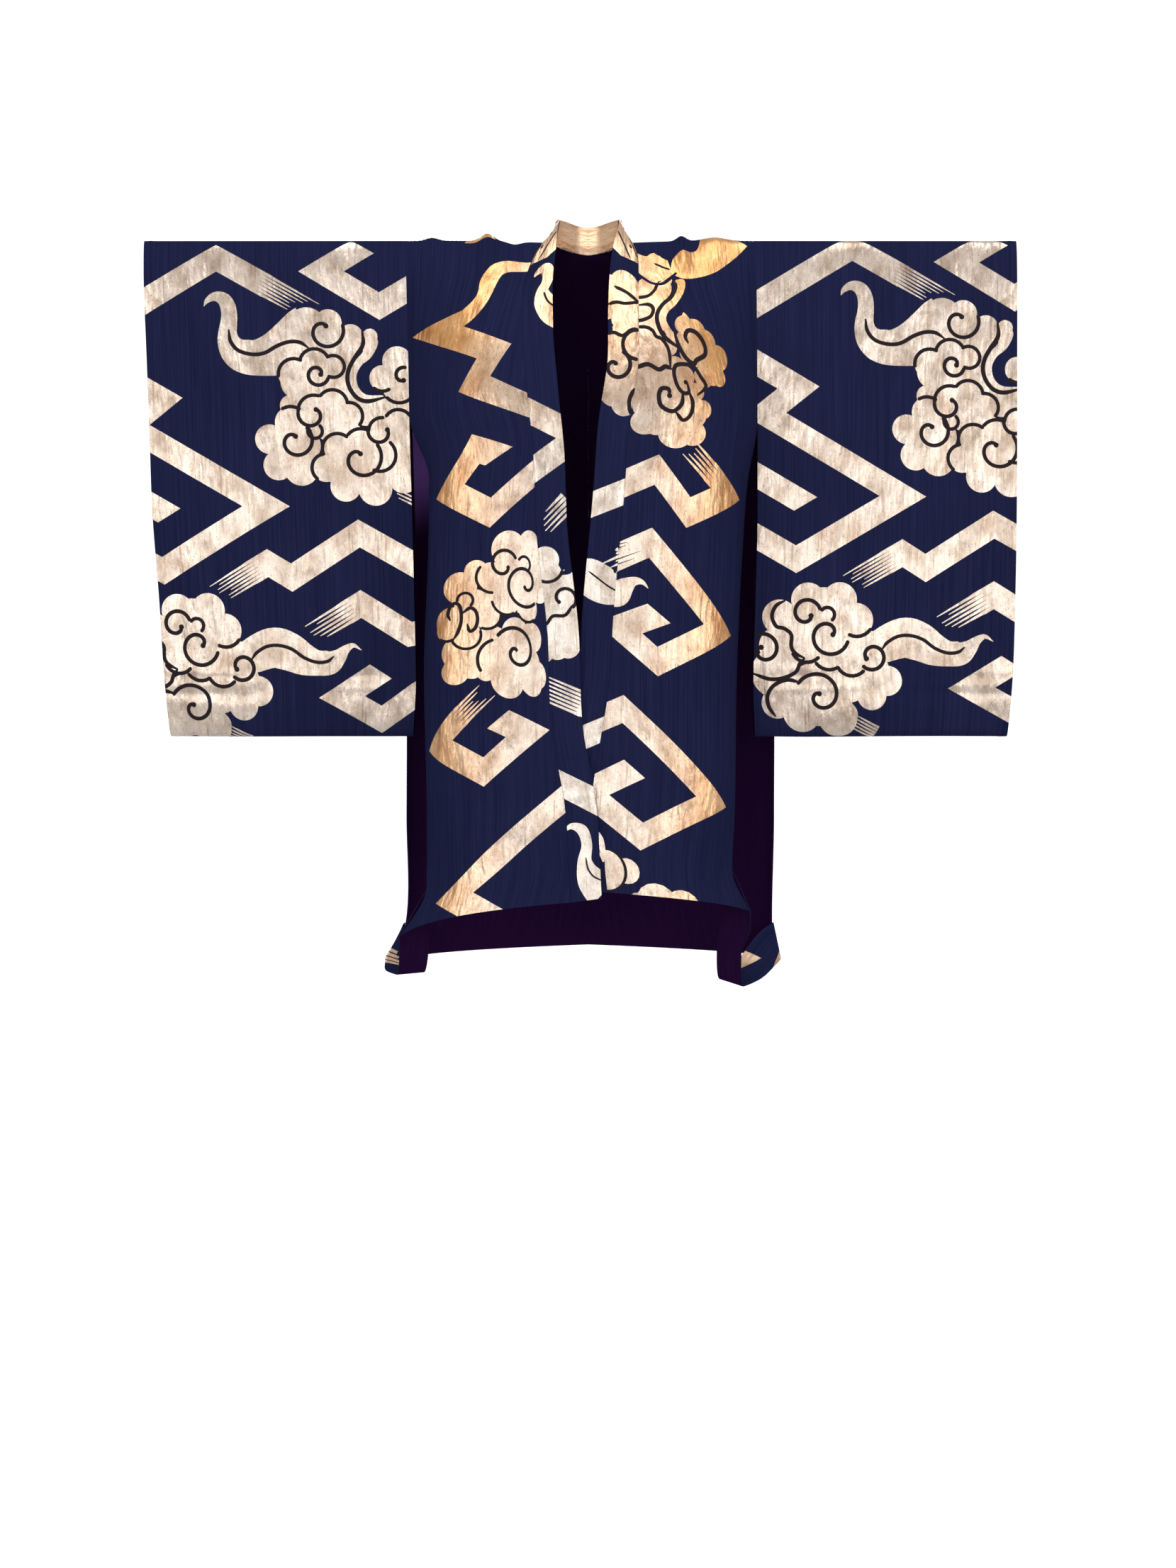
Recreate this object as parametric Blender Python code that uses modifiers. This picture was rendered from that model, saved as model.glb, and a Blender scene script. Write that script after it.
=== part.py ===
"""A wide-sleeved haori jacket for the stage, lined, in the hollow form it keeps when worn.

Metres, +Z up. The origin is the middle of the shoulder line, where the wearer carries it. The front
faces -Y and +X is the viewer's right. Each cut piece is one closed wall: an open sheet laid out from
short tables of sections and made solid inward, so that every table gives the cloth's outer face.
"""

import math

import bmesh
import bpy
import numpy as np
from mathutils import Vector

# Cloth
BROCADE_WALL = 0.0012
SLEEVE_WALL = 0.0016
LINING_WALL = 0.0010
BAND_WALL = 0.0035
LAYER_GAP = 0.0003
SEAM_GAP = 0.0008
BAND_SEAM_GAP = 0.0010
BAND_END_GAP = 0.0016

# Cut sizes
FRONT_LENGTH = 1.00
BACK_LENGTH = 1.09
ARMHOLE_LENGTH = 0.26
SLEEVE_DROP = 0.720
SLEEVE_FULLNESS = 0.036
CUFF_FULLNESS = 0.030
BAND_WIDTH = 0.044
BACK_NECK = 0.080
CENTRE_BACK_X = 0.010

# How finely the sheets are laid out
BODY_COLUMNS = 8
SLEEVE_COLUMNS = 8
BAND_COLUMNS = 3
STRIP_STATIONS = 12
STRIP_COLUMNS = 3

# Distances down the cloth from the shoulder line where a body length and a sleeve have a row of points.
ARMHOLE_ROWS = (0.0, 0.010, 0.030, 0.052, 0.066, 0.080, 0.120, 0.165, 0.210, ARMHOLE_LENGTH)
FRONT_ROWS = (0.30, 0.35, 0.42, 0.50, 0.59, 0.68, 0.77, 0.85, 0.91, 0.955, FRONT_LENGTH)
BACK_ROWS = (0.31, 0.38, 0.47, 0.57, 0.67, 0.77, 0.87, 0.96, 1.03, BACK_LENGTH)
LOWER_SLEEVE_ROWS = (0.33, 0.41, 0.49, 0.57, 0.64, 0.69, 0.712)

# Side edge of each body length below the armhole: distance along the cloth (front negative), x, y, z.
SIDE_EDGE = {
    "left": (
        (-FRONT_LENGTH, -0.2584, -0.066, -1.0025),
        (-0.93, -0.2215, -0.045, -0.9379),
        (-0.84, -0.2215, -0.042, -0.850),
        (-0.62, -0.2264, -0.040, -0.628),
        (-0.44, -0.2190, -0.042, -0.445),
        (-0.35, -0.2180, -0.044, -0.352),
        (0.30, -0.2468, 0.052, -0.298),
        (0.35, -0.2530, 0.068, -0.346),
        (0.42, -0.2580, 0.083, -0.414),
        (0.62, -0.2600, 0.100, -0.612),
        (0.85, -0.2610, 0.106, -0.840),
        (1.02, -0.2620, 0.104, -1.000),
        (BACK_LENGTH, -0.2740, 0.090, -1.056),
    ),
    "right": (
        (-FRONT_LENGTH, 0.2410, -0.062, -0.9675),
        (-0.93, 0.2175, -0.045, -0.9103),
        (-0.84, 0.2205, -0.042, -0.838),
        (-0.62, 0.2247, -0.040, -0.618),
        (-0.44, 0.2329, -0.042, -0.440),
        (-0.35, 0.2400, -0.040, -0.350),
        (0.30, 0.2530, 0.052, -0.298),
        (0.35, 0.2610, 0.068, -0.346),
        (0.42, 0.2700, 0.083, -0.414),
        (0.62, 0.2850, 0.100, -0.612),
        (0.85, 0.2870, 0.106, -0.840),
        (1.02, 0.2840, 0.104, -1.000),
        (BACK_LENGTH, 0.2940, 0.092, -1.054),
    ),
}

# Neckband seam, from the front hem up round the neck to the centre back.
NECK_SEAM = {
    "left": (
        (-FRONT_LENGTH, -0.0141, -0.1620, -0.9463),
        (-0.858, -0.0232, -0.1560, -0.8064),
        (-0.760, -0.0400, -0.1530, -0.7120),
        (-0.614, -0.0470, -0.1520, -0.5679),
        (-0.464, -0.0630, -0.1490, -0.4206),
        (-0.361, -0.0670, -0.1430, -0.3199),
        (-0.264, -0.0763, -0.1310, -0.2253),
        (-0.178, -0.0829, -0.1070, -0.1440),
        (-0.116, -0.0837, -0.0770, -0.0905),
        (-0.058, -0.0763, -0.0420, -0.0461),
        (-0.020, -0.0620, -0.0170, -0.0115),
        (0.0, -0.0520, 0.0000, -0.0020),
        (0.030, -0.0440, 0.0300, -0.0030),
        (0.052, -0.0240, 0.0540, -0.0060),
        (0.066, -0.0080, 0.0645, -0.0105),
        (BACK_NECK, CENTRE_BACK_X, 0.0665, -0.0130),
    ),
    "right": (
        (-FRONT_LENGTH, 0.0127, -0.1530, -0.9311),
        (-0.860, 0.0160, -0.1490, -0.7950),
        (-0.770, 0.0296, -0.1460, -0.7072),
        (-0.720, 0.0375, -0.1450, -0.6614),
        (-0.591, 0.0465, -0.1450, -0.5351),
        (-0.424, 0.0614, -0.1470, -0.3719),
        (-0.326, 0.0684, -0.1430, -0.2768),
        (-0.227, 0.0817, -0.1230, -0.1835),
        (-0.160, 0.0821, -0.0980, -0.1229),
        (-0.055, 0.0829, -0.0380, -0.0403),
        (-0.020, 0.0790, -0.0170, -0.0120),
        (0.0, 0.0730, 0.0000, -0.0020),
        (0.030, 0.0650, 0.0300, -0.0030),
        (0.052, 0.0450, 0.0540, -0.0060),
        (0.066, 0.0280, 0.0645, -0.0105),
        (BACK_NECK, CENTRE_BACK_X, 0.0665, -0.0130),
    ),
}

# Centre back seam, from the neckband down to the hem.
CENTRE_BACK = (
    (BACK_NECK, 0.0665, -0.0130),
    (0.120, 0.0880, -0.0490),
    (0.200, 0.1130, -0.1250),
    (0.300, 0.1230, -0.2250),
    (0.500, 0.1270, -0.4270),
    (0.800, 0.1420, -0.7280),
    (BACK_LENGTH, 0.1600, -1.0400),
)

# The control point that rounds each row between its two edges, as the cloth turns past the chest or back.
TURN = {
    "left": (
        (-FRONT_LENGTH, -0.2150, -0.1600, -0.9620),
        (-0.93, -0.2220, -0.1580, -0.8950),
        (-0.62, -0.2220, -0.1550, -0.6000),
        (-0.35, -0.2150, -0.1480, -0.3300),
        (-0.26, -0.2050, -0.1400, -0.2350),
        (-0.15, -0.1900, -0.1100, -0.1250),
        (-0.07, -0.1750, -0.0620, -0.0550),
        (-0.03, -0.1650, -0.0320, -0.0220),
        (0.0, -0.1600, 0.0000, 0.0020),
        (0.03, -0.1650, 0.0320, -0.0180),
        (0.07, -0.1750, 0.0620, -0.0480),
        (0.15, -0.1950, 0.1050, -0.1180),
        (0.26, -0.2150, 0.1250, -0.2200),
        (0.42, -0.2350, 0.1300, -0.3750),
        (0.62, -0.2450, 0.1320, -0.5750),
        (0.85, -0.2500, 0.1450, -0.8050),
        (BACK_LENGTH, -0.2550, 0.1600, -1.0500),
    ),
    "right": (
        (-FRONT_LENGTH, 0.2050, -0.1520, -0.9450),
        (-0.93, 0.2150, -0.1500, -0.8850),
        (-0.62, 0.2200, -0.1480, -0.6000),
        (-0.35, 0.2200, -0.1470, -0.3300),
        (-0.26, 0.2150, -0.1400, -0.2350),
        (-0.15, 0.2000, -0.1100, -0.1250),
        (-0.07, 0.1800, -0.0620, -0.0550),
        (-0.03, 0.1700, -0.0320, -0.0220),
        (0.0, 0.1650, 0.0000, 0.0020),
        (0.03, 0.1700, 0.0320, -0.0180),
        (0.07, 0.1800, 0.0620, -0.0480),
        (0.15, 0.2000, 0.1050, -0.1180),
        (0.26, 0.2200, 0.1250, -0.2200),
        (0.42, 0.2450, 0.1300, -0.3750),
        (0.62, 0.2600, 0.1320, -0.5750),
        (0.85, 0.2650, 0.1450, -0.8050),
        (BACK_LENGTH, 0.2700, 0.1600, -1.0500),
    ),
}

# Sleeve: distance down from the top fold, x at the body, x at the cuff, how far it sways in and out.
SLEEVE = {
    "left": (
        (0.0, -0.2545, -0.6345, 0.0000),
        (0.06, -0.2530, -0.6334, 0.0005),
        (0.16, -0.2500, -0.6290, 0.0022),
        (0.26, -0.2480, -0.6250, 0.0040),
        (0.40, -0.2440, -0.6200, 0.0062),
        (0.52, -0.2410, -0.6110, 0.0080),
        (0.64, -0.2390, -0.6040, 0.0094),
        (SLEEVE_DROP, -0.2440, -0.5970, 0.0100),
    ),
    "right": (
        (0.0, 0.2534, 0.6314, 0.0000),
        (0.06, 0.2536, 0.6312, 0.0005),
        (0.16, 0.2540, 0.6304, 0.0020),
        (0.26, 0.2545, 0.6300, 0.0035),
        (0.40, 0.2545, 0.6293, 0.0050),
        (0.52, 0.2515, 0.6275, 0.0065),
        (0.64, 0.2490, 0.6240, 0.0075),
        (SLEEVE_DROP, 0.2520, 0.6180, 0.0080),
    ),
}
SWAY_TURNS = {"left": 1.15, "right": -1.0}
RING_BLUNTNESS = 0.24

# Which way the neckband's free edge stands from its seam: distance along the seam, x, y, z.
BAND_LEAN = {
    "left": (
        (-FRONT_LENGTH, 1.00, -0.05, 0.14),
        (-0.60, 1.00, -0.02, 0.12),
        (-0.26, 1.00, 0.04, 0.08),
        (-0.116, 0.98, 0.16, 0.14),
        (-0.058, 0.85, 0.10, 0.46),
        (0.0, 0.42, 0.44, 0.76),
        (0.030, 0.15, 0.35, 0.90),
        (BACK_NECK, 0.00, 0.30, 0.95),
    ),
    "right": (
        (-FRONT_LENGTH, -1.00, -0.02, 0.08),
        (-0.60, -1.00, 0.00, 0.10),
        (-0.26, -1.00, 0.04, 0.08),
        (-0.116, -0.98, 0.16, 0.14),
        (-0.058, -0.85, 0.10, 0.46),
        (0.0, -0.36, 0.44, 0.76),
        (0.030, -0.15, 0.35, 0.90),
        (BACK_NECK, 0.00, 0.30, 0.95),
    ),
}

# Hem strip: a lined strap slung like a hammock between the lowest stretches of the two side edges.
# Each row between those gives its inner long edge (x, y, z), then its outer long edge (x, y, z).
STRIP = {
    "left": (
        (-0.2190, -0.0370, -0.9950, -0.2600, -0.0530, -1.0180),
        (-0.2220, -0.0230, -1.0420, -0.2620, -0.0360, -1.0420),
        (-0.2300, 0.0060, -1.0640, -0.2680, -0.0080, -1.0660),
        (-0.2460, 0.0420, -1.0500, -0.2880, 0.0330, -1.0620),
        (-0.2620, 0.0750, -1.0100, -0.2880, 0.0660, -1.0500),
    ),
    "right": (
        (0.2050, -0.0370, -0.9750, 0.2430, -0.0500, -0.9960),
        (0.1960, -0.0220, -1.0300, 0.2300, -0.0400, -1.0330),
        (0.2020, 0.0060, -1.0740, 0.2350, -0.0100, -1.0830),
        (0.2300, 0.0400, -1.0500, 0.2650, 0.0300, -1.0750),
        (0.2600, 0.0700, -1.0150, 0.2880, 0.0650, -1.0580),
    ),
}
STRIP_WIDTH = 0.068
STRIP_SEAT = 0.0018

COLOURS = {
    "brocade": (0.018, 0.020, 0.068),
    "neckband": (0.60, 0.46, 0.26),
    "purple_lining": (0.030, 0.008, 0.055),
}


def row_at(table, where):
    """A smooth curve through the table's rows, read at one value of its first column."""
    rows = np.array(table)
    stations = rows[:, 0]
    values = rows[:, 1:]
    slopes = np.gradient(values, stations, axis=0)
    chords = np.diff(values, axis=0)
    slopes[1:-1][chords[1:] * chords[:-1] <= 0] = 0.0
    last = len(stations) - 2
    k = int(np.clip(np.searchsorted(stations, where) - 1, 0, last))
    span = stations[k + 1] - stations[k]
    t = (where - stations[k]) / span
    start = (1 + 2 * t) * (1 - t) ** 2 * values[k] + t * (1 - t) ** 2 * span * slopes[k]
    end = t * t * (3 - 2 * t) * values[k + 1] + t * t * (t - 1) * span * slopes[k + 1]
    return start + end


def half_depth(drop, fullness):
    """Half the front-to-back depth of a flattened sleeve at a distance down from its top fold."""
    share = min(max(drop / SLEEVE_DROP, 0.0), 1.0)
    return fullness * max(math.sin(math.pi * share), 0.0) ** RING_BLUNTNESS


def armhole(side, along):
    """The seam between body and sleeve, front negative, back positive."""
    drop = abs(along)
    x = row_at(SLEEVE[side], drop)[0]
    y = math.copysign(half_depth(drop, SLEEVE_FULLNESS), along)
    return np.array((x, y, -drop))


def side_edge(side, along):
    """The outer edge of a body length: the armhole seam, then the free edge below it."""
    if abs(along) <= ARMHOLE_LENGTH:
        return armhole(side, along)
    seam = [(v, *armhole(side, v)) for v in (-ARMHOLE_LENGTH, -0.2, 0.0, 0.2, ARMHOLE_LENGTH)]
    front = [row for row in SIDE_EDGE[side] if row[0] < 0]
    back = [row for row in SIDE_EDGE[side] if row[0] > 0]
    return row_at(front + seam + back, along)


def inner_edge(side, along):
    """The inner edge of a body length: the neckband seam, then the centre back seam."""
    if along <= BACK_NECK:
        return row_at(NECK_SEAM[side], along)
    y, z = row_at(CENTRE_BACK, along)
    return np.array((CENTRE_BACK_X, y, z))


def body_row(side, along, columns):
    """Points across a body length, from its side edge to the neckband or the centre back seam."""
    edge = side_edge(side, along)
    turn = row_at(TURN[side], along)
    inner = inner_edge(side, along)
    fine = np.linspace(0.0, 1.0, 41)[:, None]
    curve = (1 - fine) ** 2 * edge + 2 * fine * (1 - fine) * turn + fine**2 * inner
    steps = np.linalg.norm(np.diff(curve, axis=0), axis=1)
    length = np.concatenate(((0.0,), np.cumsum(steps)))
    even = np.linspace(SEAM_GAP / 2, length[-1] - SEAM_GAP / 2, columns + 1)
    return np.column_stack([np.interp(even, length, curve[:, axis]) for axis in range(3)])


def body_stations():
    """Where a body length has its rows, from the front hem over the shoulder to the back hem."""
    front = [-v for v in reversed(FRONT_ROWS)] + [-v for v in reversed(ARMHOLE_ROWS[1:])]
    return front + list(ARMHOLE_ROWS) + list(BACK_ROWS)


def body_sheet(side):
    """A whole body length, from the front hem over the shoulder to the back hem."""
    return np.array([body_row(side, along, BODY_COLUMNS) for along in body_stations()])


def sleeve_ring(side, share):
    """One section of the sleeve: up the front layer, over the fold and down the back layer."""
    drops = list(ARMHOLE_ROWS) + list(LOWER_SLEEVE_ROWS) + [SLEEVE_DROP]
    outward = math.copysign(1.0, SLEEVE[side][0][1])
    points = []
    for way in (-1, 1):
        stretch = drops[1:][::-1] if way < 0 else drops[:-1]
        for drop in stretch:
            at_body, at_cuff, sway = row_at(SLEEVE[side], drop)
            x = at_body + (at_cuff - at_body) * share + outward * SEAM_GAP / 2 * (1 - share)
            fullness = SLEEVE_FULLNESS + (CUFF_FULLNESS - SLEEVE_FULLNESS) * share
            swing = sway * math.sin(2 * math.pi * SWAY_TURNS[side] * share)
            points.append((x, way * half_depth(drop, fullness) + swing, -drop))
    return points


def sleeve_sheet(side):
    """The sleeve as an open tube: a ring of points for each column."""
    shares = [column / SLEEVE_COLUMNS for column in range(SLEEVE_COLUMNS + 1)]
    return np.array([sleeve_ring(side, share) for share in shares])


def band_sheet(side):
    """Half of the neckband: from the front hem, up the front and round to the centre back."""
    rows = []
    for along in body_stations():
        if along <= BACK_NECK:
            seam = row_at(NECK_SEAM[side], along)
            lean = row_at(BAND_LEAN[side], along)
            lean = lean / np.linalg.norm(lean)
            reach = np.linspace(BAND_SEAM_GAP, BAND_WIDTH, BAND_COLUMNS + 1)[:, None]
            rows.append(seam + reach * lean)
    towards_side = np.sign(rows[0][0, 0] - CENTRE_BACK_X)
    rows[-1][:, 0] += towards_side * BAND_END_GAP / 2
    return np.array(rows)


def strip_sheet(side):
    """The slung strap between the hem corners, seated just inside each side edge."""
    seat = np.array((0.0, STRIP_SEAT, 0.0))
    front = np.concatenate([side_edge(side, v) + seat for v in (STRIP_WIDTH - FRONT_LENGTH, -FRONT_LENGTH)])
    back = np.concatenate([side_edge(side, v) - seat for v in (BACK_LENGTH - STRIP_WIDTH, BACK_LENGTH)])
    table = [(k, *row) for k, row in enumerate((front, *STRIP[side], back))]
    across = np.linspace(0.0, 1.0, STRIP_COLUMNS + 1)[:, None]
    rows = []
    for station in np.linspace(0.0, len(table) - 1, STRIP_STATIONS + 1):
        values = row_at(table, station)
        rows.append(values[:3] * (1 - across) + values[3:] * across)
    return np.array(rows)


def open_mesh(name, sheet, ring=False, flip=False):
    """A mesh of the sheet's points, its faces all turned one way, a ring closed on itself."""
    rows, columns = sheet.shape[:2]
    bm = bmesh.new()
    points = [[bm.verts.new(Vector(point)) for point in row] for row in sheet]
    for i in range(rows - 1):
        for j in range(columns if ring else columns - 1):
            k = (j + 1) % columns
            corners = [points[i][j], points[i + 1][j], points[i + 1][k], points[i][k]]
            bm.faces.new(corners[::-1] if flip else corners)
    bm.normal_update()
    mesh = bpy.data.meshes.new(name)
    bm.to_mesh(mesh)
    bm.free()
    return mesh


def move_inward(mesh, depth):
    """Moves every point against its normal, to lie under a layer of that depth."""
    moves = [vertex.normal * depth for vertex in mesh.vertices]
    for vertex, move in zip(mesh.vertices, moves):
        vertex.co -= move


def wall(name, mesh, thickness, material, collection):
    """The open sheet made into a closed wall, its given face outermost."""
    for polygon in mesh.polygons:
        polygon.use_smooth = True
    piece = bpy.data.objects.new(name, mesh)
    piece.data.materials.append(material)
    collection.objects.link(piece)
    solid = piece.modifiers.new("wall", "SOLIDIFY")
    solid.thickness = thickness
    solid.offset = -1.0
    solid.use_even_offset = False
    solid.use_rim = True
    return piece


def cloth_material(name, colour, roughness):
    """A plain finish for one kind of cloth."""
    material = bpy.data.materials.new(name)
    material.use_nodes = True
    shader = material.node_tree.nodes["Principled BSDF"]
    shader.inputs["Base Color"].default_value = (*colour, 1.0)
    shader.inputs["Roughness"].default_value = roughness
    shader.inputs["Metallic"].default_value = 0.0
    return material


def clear_scene():
    """Removes whatever objects the file opened with."""
    for obj in list(bpy.data.objects):
        bpy.data.objects.remove(obj, do_unlink=True)


def build_side(side, collection, brocade, neckband, lining):
    """Every piece of one half of the jacket."""
    is_left = side == "left"
    wall(f"body_{side}", open_mesh("body", body_sheet(side), flip=is_left), BROCADE_WALL, brocade, collection)
    under = open_mesh("lining", body_sheet(side), flip=is_left)
    move_inward(under, BROCADE_WALL + LAYER_GAP)
    wall(f"lining_{side}", under, LINING_WALL, lining, collection)
    tube = open_mesh("sleeve", sleeve_sheet(side), ring=True, flip=not is_left)
    wall(f"sleeve_{side}", tube, SLEEVE_WALL, brocade, collection)
    band = open_mesh("neckband", band_sheet(side), flip=is_left)
    wall(f"neckband_{side}", band, BAND_WALL, neckband, collection)
    # The strap hangs turned inside out, its lining below and its brocade in the hollow of the sling
    strap_lining = open_mesh("strip_lining", strip_sheet(side), flip=is_left)
    wall(f"strip_lining_{side}", strap_lining, LINING_WALL, lining, collection)
    strap = open_mesh("hem_strip", strip_sheet(side), flip=is_left)
    move_inward(strap, LINING_WALL + LAYER_GAP)
    wall(f"hem_strip_{side}", strap, BROCADE_WALL, brocade, collection)


def main():
    clear_scene()
    jacket = bpy.data.collections.new("haori_jacket")
    bpy.context.scene.collection.children.link(jacket)
    brocade = cloth_material("brocade", COLOURS["brocade"], 0.55)
    neckband = cloth_material("neckband", COLOURS["neckband"], 0.45)
    lining = cloth_material("purple_lining", COLOURS["purple_lining"], 0.60)
    for side in ("left", "right"):
        build_side(side, jacket, brocade, neckband, lining)


main()
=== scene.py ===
"""The looks of a wide-sleeved lined haori jacket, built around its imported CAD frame.

Metres, +Z up, the front facing -Y. The cloth's form repeats part.py's tables. Each cut piece is laid out
flat, in millimetres across and along the cloth. Its woven pattern of zigzag bands and clouds is drawn there
from strokes, discs, arcs and curls. Then it is hung on its form as a thin shell with its creases.
"""

import math

import bpy
import numpy as np
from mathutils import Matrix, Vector
from mathutils.geometry import delaunay_2d_cdt


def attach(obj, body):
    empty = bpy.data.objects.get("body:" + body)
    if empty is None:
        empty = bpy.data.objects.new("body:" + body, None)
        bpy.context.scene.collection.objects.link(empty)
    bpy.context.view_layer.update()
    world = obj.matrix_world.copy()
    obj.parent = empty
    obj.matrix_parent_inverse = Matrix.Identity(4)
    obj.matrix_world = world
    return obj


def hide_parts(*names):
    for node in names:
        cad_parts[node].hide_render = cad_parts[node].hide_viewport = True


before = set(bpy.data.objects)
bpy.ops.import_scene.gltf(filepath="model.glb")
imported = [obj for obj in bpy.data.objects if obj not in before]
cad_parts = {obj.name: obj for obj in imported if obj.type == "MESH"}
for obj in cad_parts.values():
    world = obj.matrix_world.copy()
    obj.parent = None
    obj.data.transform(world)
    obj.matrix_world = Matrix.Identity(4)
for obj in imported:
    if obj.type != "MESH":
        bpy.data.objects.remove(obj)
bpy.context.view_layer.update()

# Cloth
BROCADE_WALL = 0.0012
SLEEVE_WALL = 0.0016
LINING_WALL = 0.0010
BAND_WALL = 0.0035
LAYER_GAP = 0.0003
# Negative, because the seams that part.py leaves a little open between its solids are closed here
BAND_SEAM_GAP = -0.0004
BAND_END_GAP = -0.0004
STRIP_SEAT = -0.0003

# Cut sizes
FRONT_LENGTH = 1.00
BACK_LENGTH = 1.09
ARMHOLE_LENGTH = 0.26
SLEEVE_DROP = 0.720
SLEEVE_FULLNESS = 0.036
CUFF_FULLNESS = 0.030
BAND_WIDTH = 0.044
BACK_NECK = 0.080
LOOM_WIDTH = 0.380
CENTRE_BACK_X = 0.010

# Side edge of each body length below the armhole: distance along the cloth (front negative), x, y, z.
SIDE_EDGE = {
    "left": (
        (-FRONT_LENGTH, -0.2584, -0.066, -1.0025), (-0.93, -0.2215, -0.045, -0.9379),
        (-0.84, -0.2215, -0.042, -0.85), (-0.62, -0.2264, -0.04, -0.628), (-0.44, -0.219, -0.042, -0.445),
        (-0.35, -0.218, -0.044, -0.352), (0.3, -0.252, 0.052, -0.298), (0.35, -0.253, 0.068, -0.346),
        (0.42, -0.258, 0.083, -0.414), (0.62, -0.26, 0.1, -0.612), (0.85, -0.261, 0.106, -0.84),
        (1.02, -0.262, 0.104, -1.0), (BACK_LENGTH, -0.274, 0.09, -1.056),
    ),
    "right": (
        (-FRONT_LENGTH, 0.241, -0.062, -0.9675), (-0.93, 0.2175, -0.045, -0.9103),
        (-0.84, 0.2205, -0.042, -0.838), (-0.62, 0.2247, -0.04, -0.618), (-0.44, 0.2329, -0.042, -0.44),
        (-0.35, 0.24, -0.04, -0.35), (0.3, 0.26, 0.052, -0.298), (0.35, 0.261, 0.068, -0.346),
        (0.42, 0.27, 0.083, -0.414), (0.62, 0.285, 0.1, -0.612), (0.85, 0.287, 0.106, -0.84),
        (1.02, 0.284, 0.104, -1.0), (BACK_LENGTH, 0.294, 0.092, -1.054),
    ),
}

# Neckband seam, from the front hem up round the neck to the centre back.
NECK_SEAM = {
    "left": (
        (-FRONT_LENGTH, -0.0141, -0.162, -0.9463), (-0.858, -0.0232, -0.156, -0.8064),
        (-0.76, -0.04, -0.153, -0.712), (-0.614, -0.047, -0.152, -0.5679), (-0.464, -0.063, -0.149, -0.4206),
        (-0.361, -0.067, -0.143, -0.3199), (-0.264, -0.0763, -0.131, -0.2253),
        (-0.178, -0.0829, -0.107, -0.144), (-0.116, -0.0837, -0.077, -0.0905),
        (-0.058, -0.0763, -0.042, -0.0461), (-0.02, -0.062, -0.017, -0.0115), (0.0, -0.052, 0.0, -0.002),
        (0.03, -0.044, 0.03, -0.003), (0.052, -0.024, 0.054, -0.006), (0.066, -0.008, 0.0645, -0.0105),
        (BACK_NECK, CENTRE_BACK_X, 0.0665, -0.013),
    ),
    "right": (
        (-FRONT_LENGTH, 0.0127, -0.153, -0.9311), (-0.86, 0.016, -0.149, -0.795),
        (-0.77, 0.0296, -0.146, -0.7072), (-0.72, 0.0375, -0.145, -0.6614),
        (-0.591, 0.0465, -0.145, -0.5351), (-0.424, 0.0614, -0.147, -0.3719),
        (-0.326, 0.0684, -0.143, -0.2768), (-0.227, 0.0817, -0.123, -0.1835),
        (-0.16, 0.0821, -0.098, -0.1229), (-0.055, 0.0829, -0.038, -0.0403), (-0.02, 0.079, -0.017, -0.012),
        (0.0, 0.073, 0.0, -0.002), (0.03, 0.065, 0.03, -0.003), (0.052, 0.045, 0.054, -0.006),
        (0.066, 0.028, 0.0645, -0.0105), (BACK_NECK, CENTRE_BACK_X, 0.0665, -0.013),
    ),
}

# Centre back seam, from the neckband down to the hem.
CENTRE_BACK = (
    (BACK_NECK, 0.0665, -0.013), (0.12, 0.088, -0.049), (0.2, 0.113, -0.125), (0.3, 0.123, -0.225),
    (0.5, 0.127, -0.427), (0.8, 0.142, -0.728), (BACK_LENGTH, 0.16, -1.04),
)

# The control point that rounds each row between its two edges, as the cloth turns past the chest or back.
TURN = {
    "left": (
        (-FRONT_LENGTH, -0.215, -0.16, -0.962), (-0.93, -0.222, -0.158, -0.895),
        (-0.62, -0.222, -0.155, -0.6), (-0.35, -0.215, -0.148, -0.33), (-0.26, -0.205, -0.14, -0.235),
        (-0.15, -0.19, -0.11, -0.125), (-0.07, -0.175, -0.062, -0.055), (-0.03, -0.165, -0.032, -0.022),
        (0.0, -0.16, 0.0, 0.002), (0.03, -0.165, 0.032, -0.018), (0.07, -0.175, 0.062, -0.048),
        (0.15, -0.195, 0.105, -0.118), (0.26, -0.215, 0.125, -0.22), (0.42, -0.235, 0.13, -0.375),
        (0.62, -0.245, 0.132, -0.575), (0.85, -0.25, 0.145, -0.805), (BACK_LENGTH, -0.255, 0.16, -1.05),
    ),
    "right": (
        (-FRONT_LENGTH, 0.205, -0.152, -0.945), (-0.93, 0.215, -0.15, -0.885), (-0.62, 0.22, -0.148, -0.6),
        (-0.35, 0.22, -0.147, -0.33), (-0.26, 0.215, -0.14, -0.235), (-0.15, 0.2, -0.11, -0.125),
        (-0.07, 0.18, -0.062, -0.055), (-0.03, 0.17, -0.032, -0.022), (0.0, 0.165, 0.0, 0.002),
        (0.03, 0.17, 0.032, -0.018), (0.07, 0.18, 0.062, -0.048), (0.15, 0.2, 0.105, -0.118),
        (0.26, 0.22, 0.125, -0.22), (0.42, 0.245, 0.13, -0.375), (0.62, 0.26, 0.132, -0.575),
        (0.85, 0.265, 0.145, -0.805), (BACK_LENGTH, 0.27, 0.16, -1.05),
    ),
}

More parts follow.
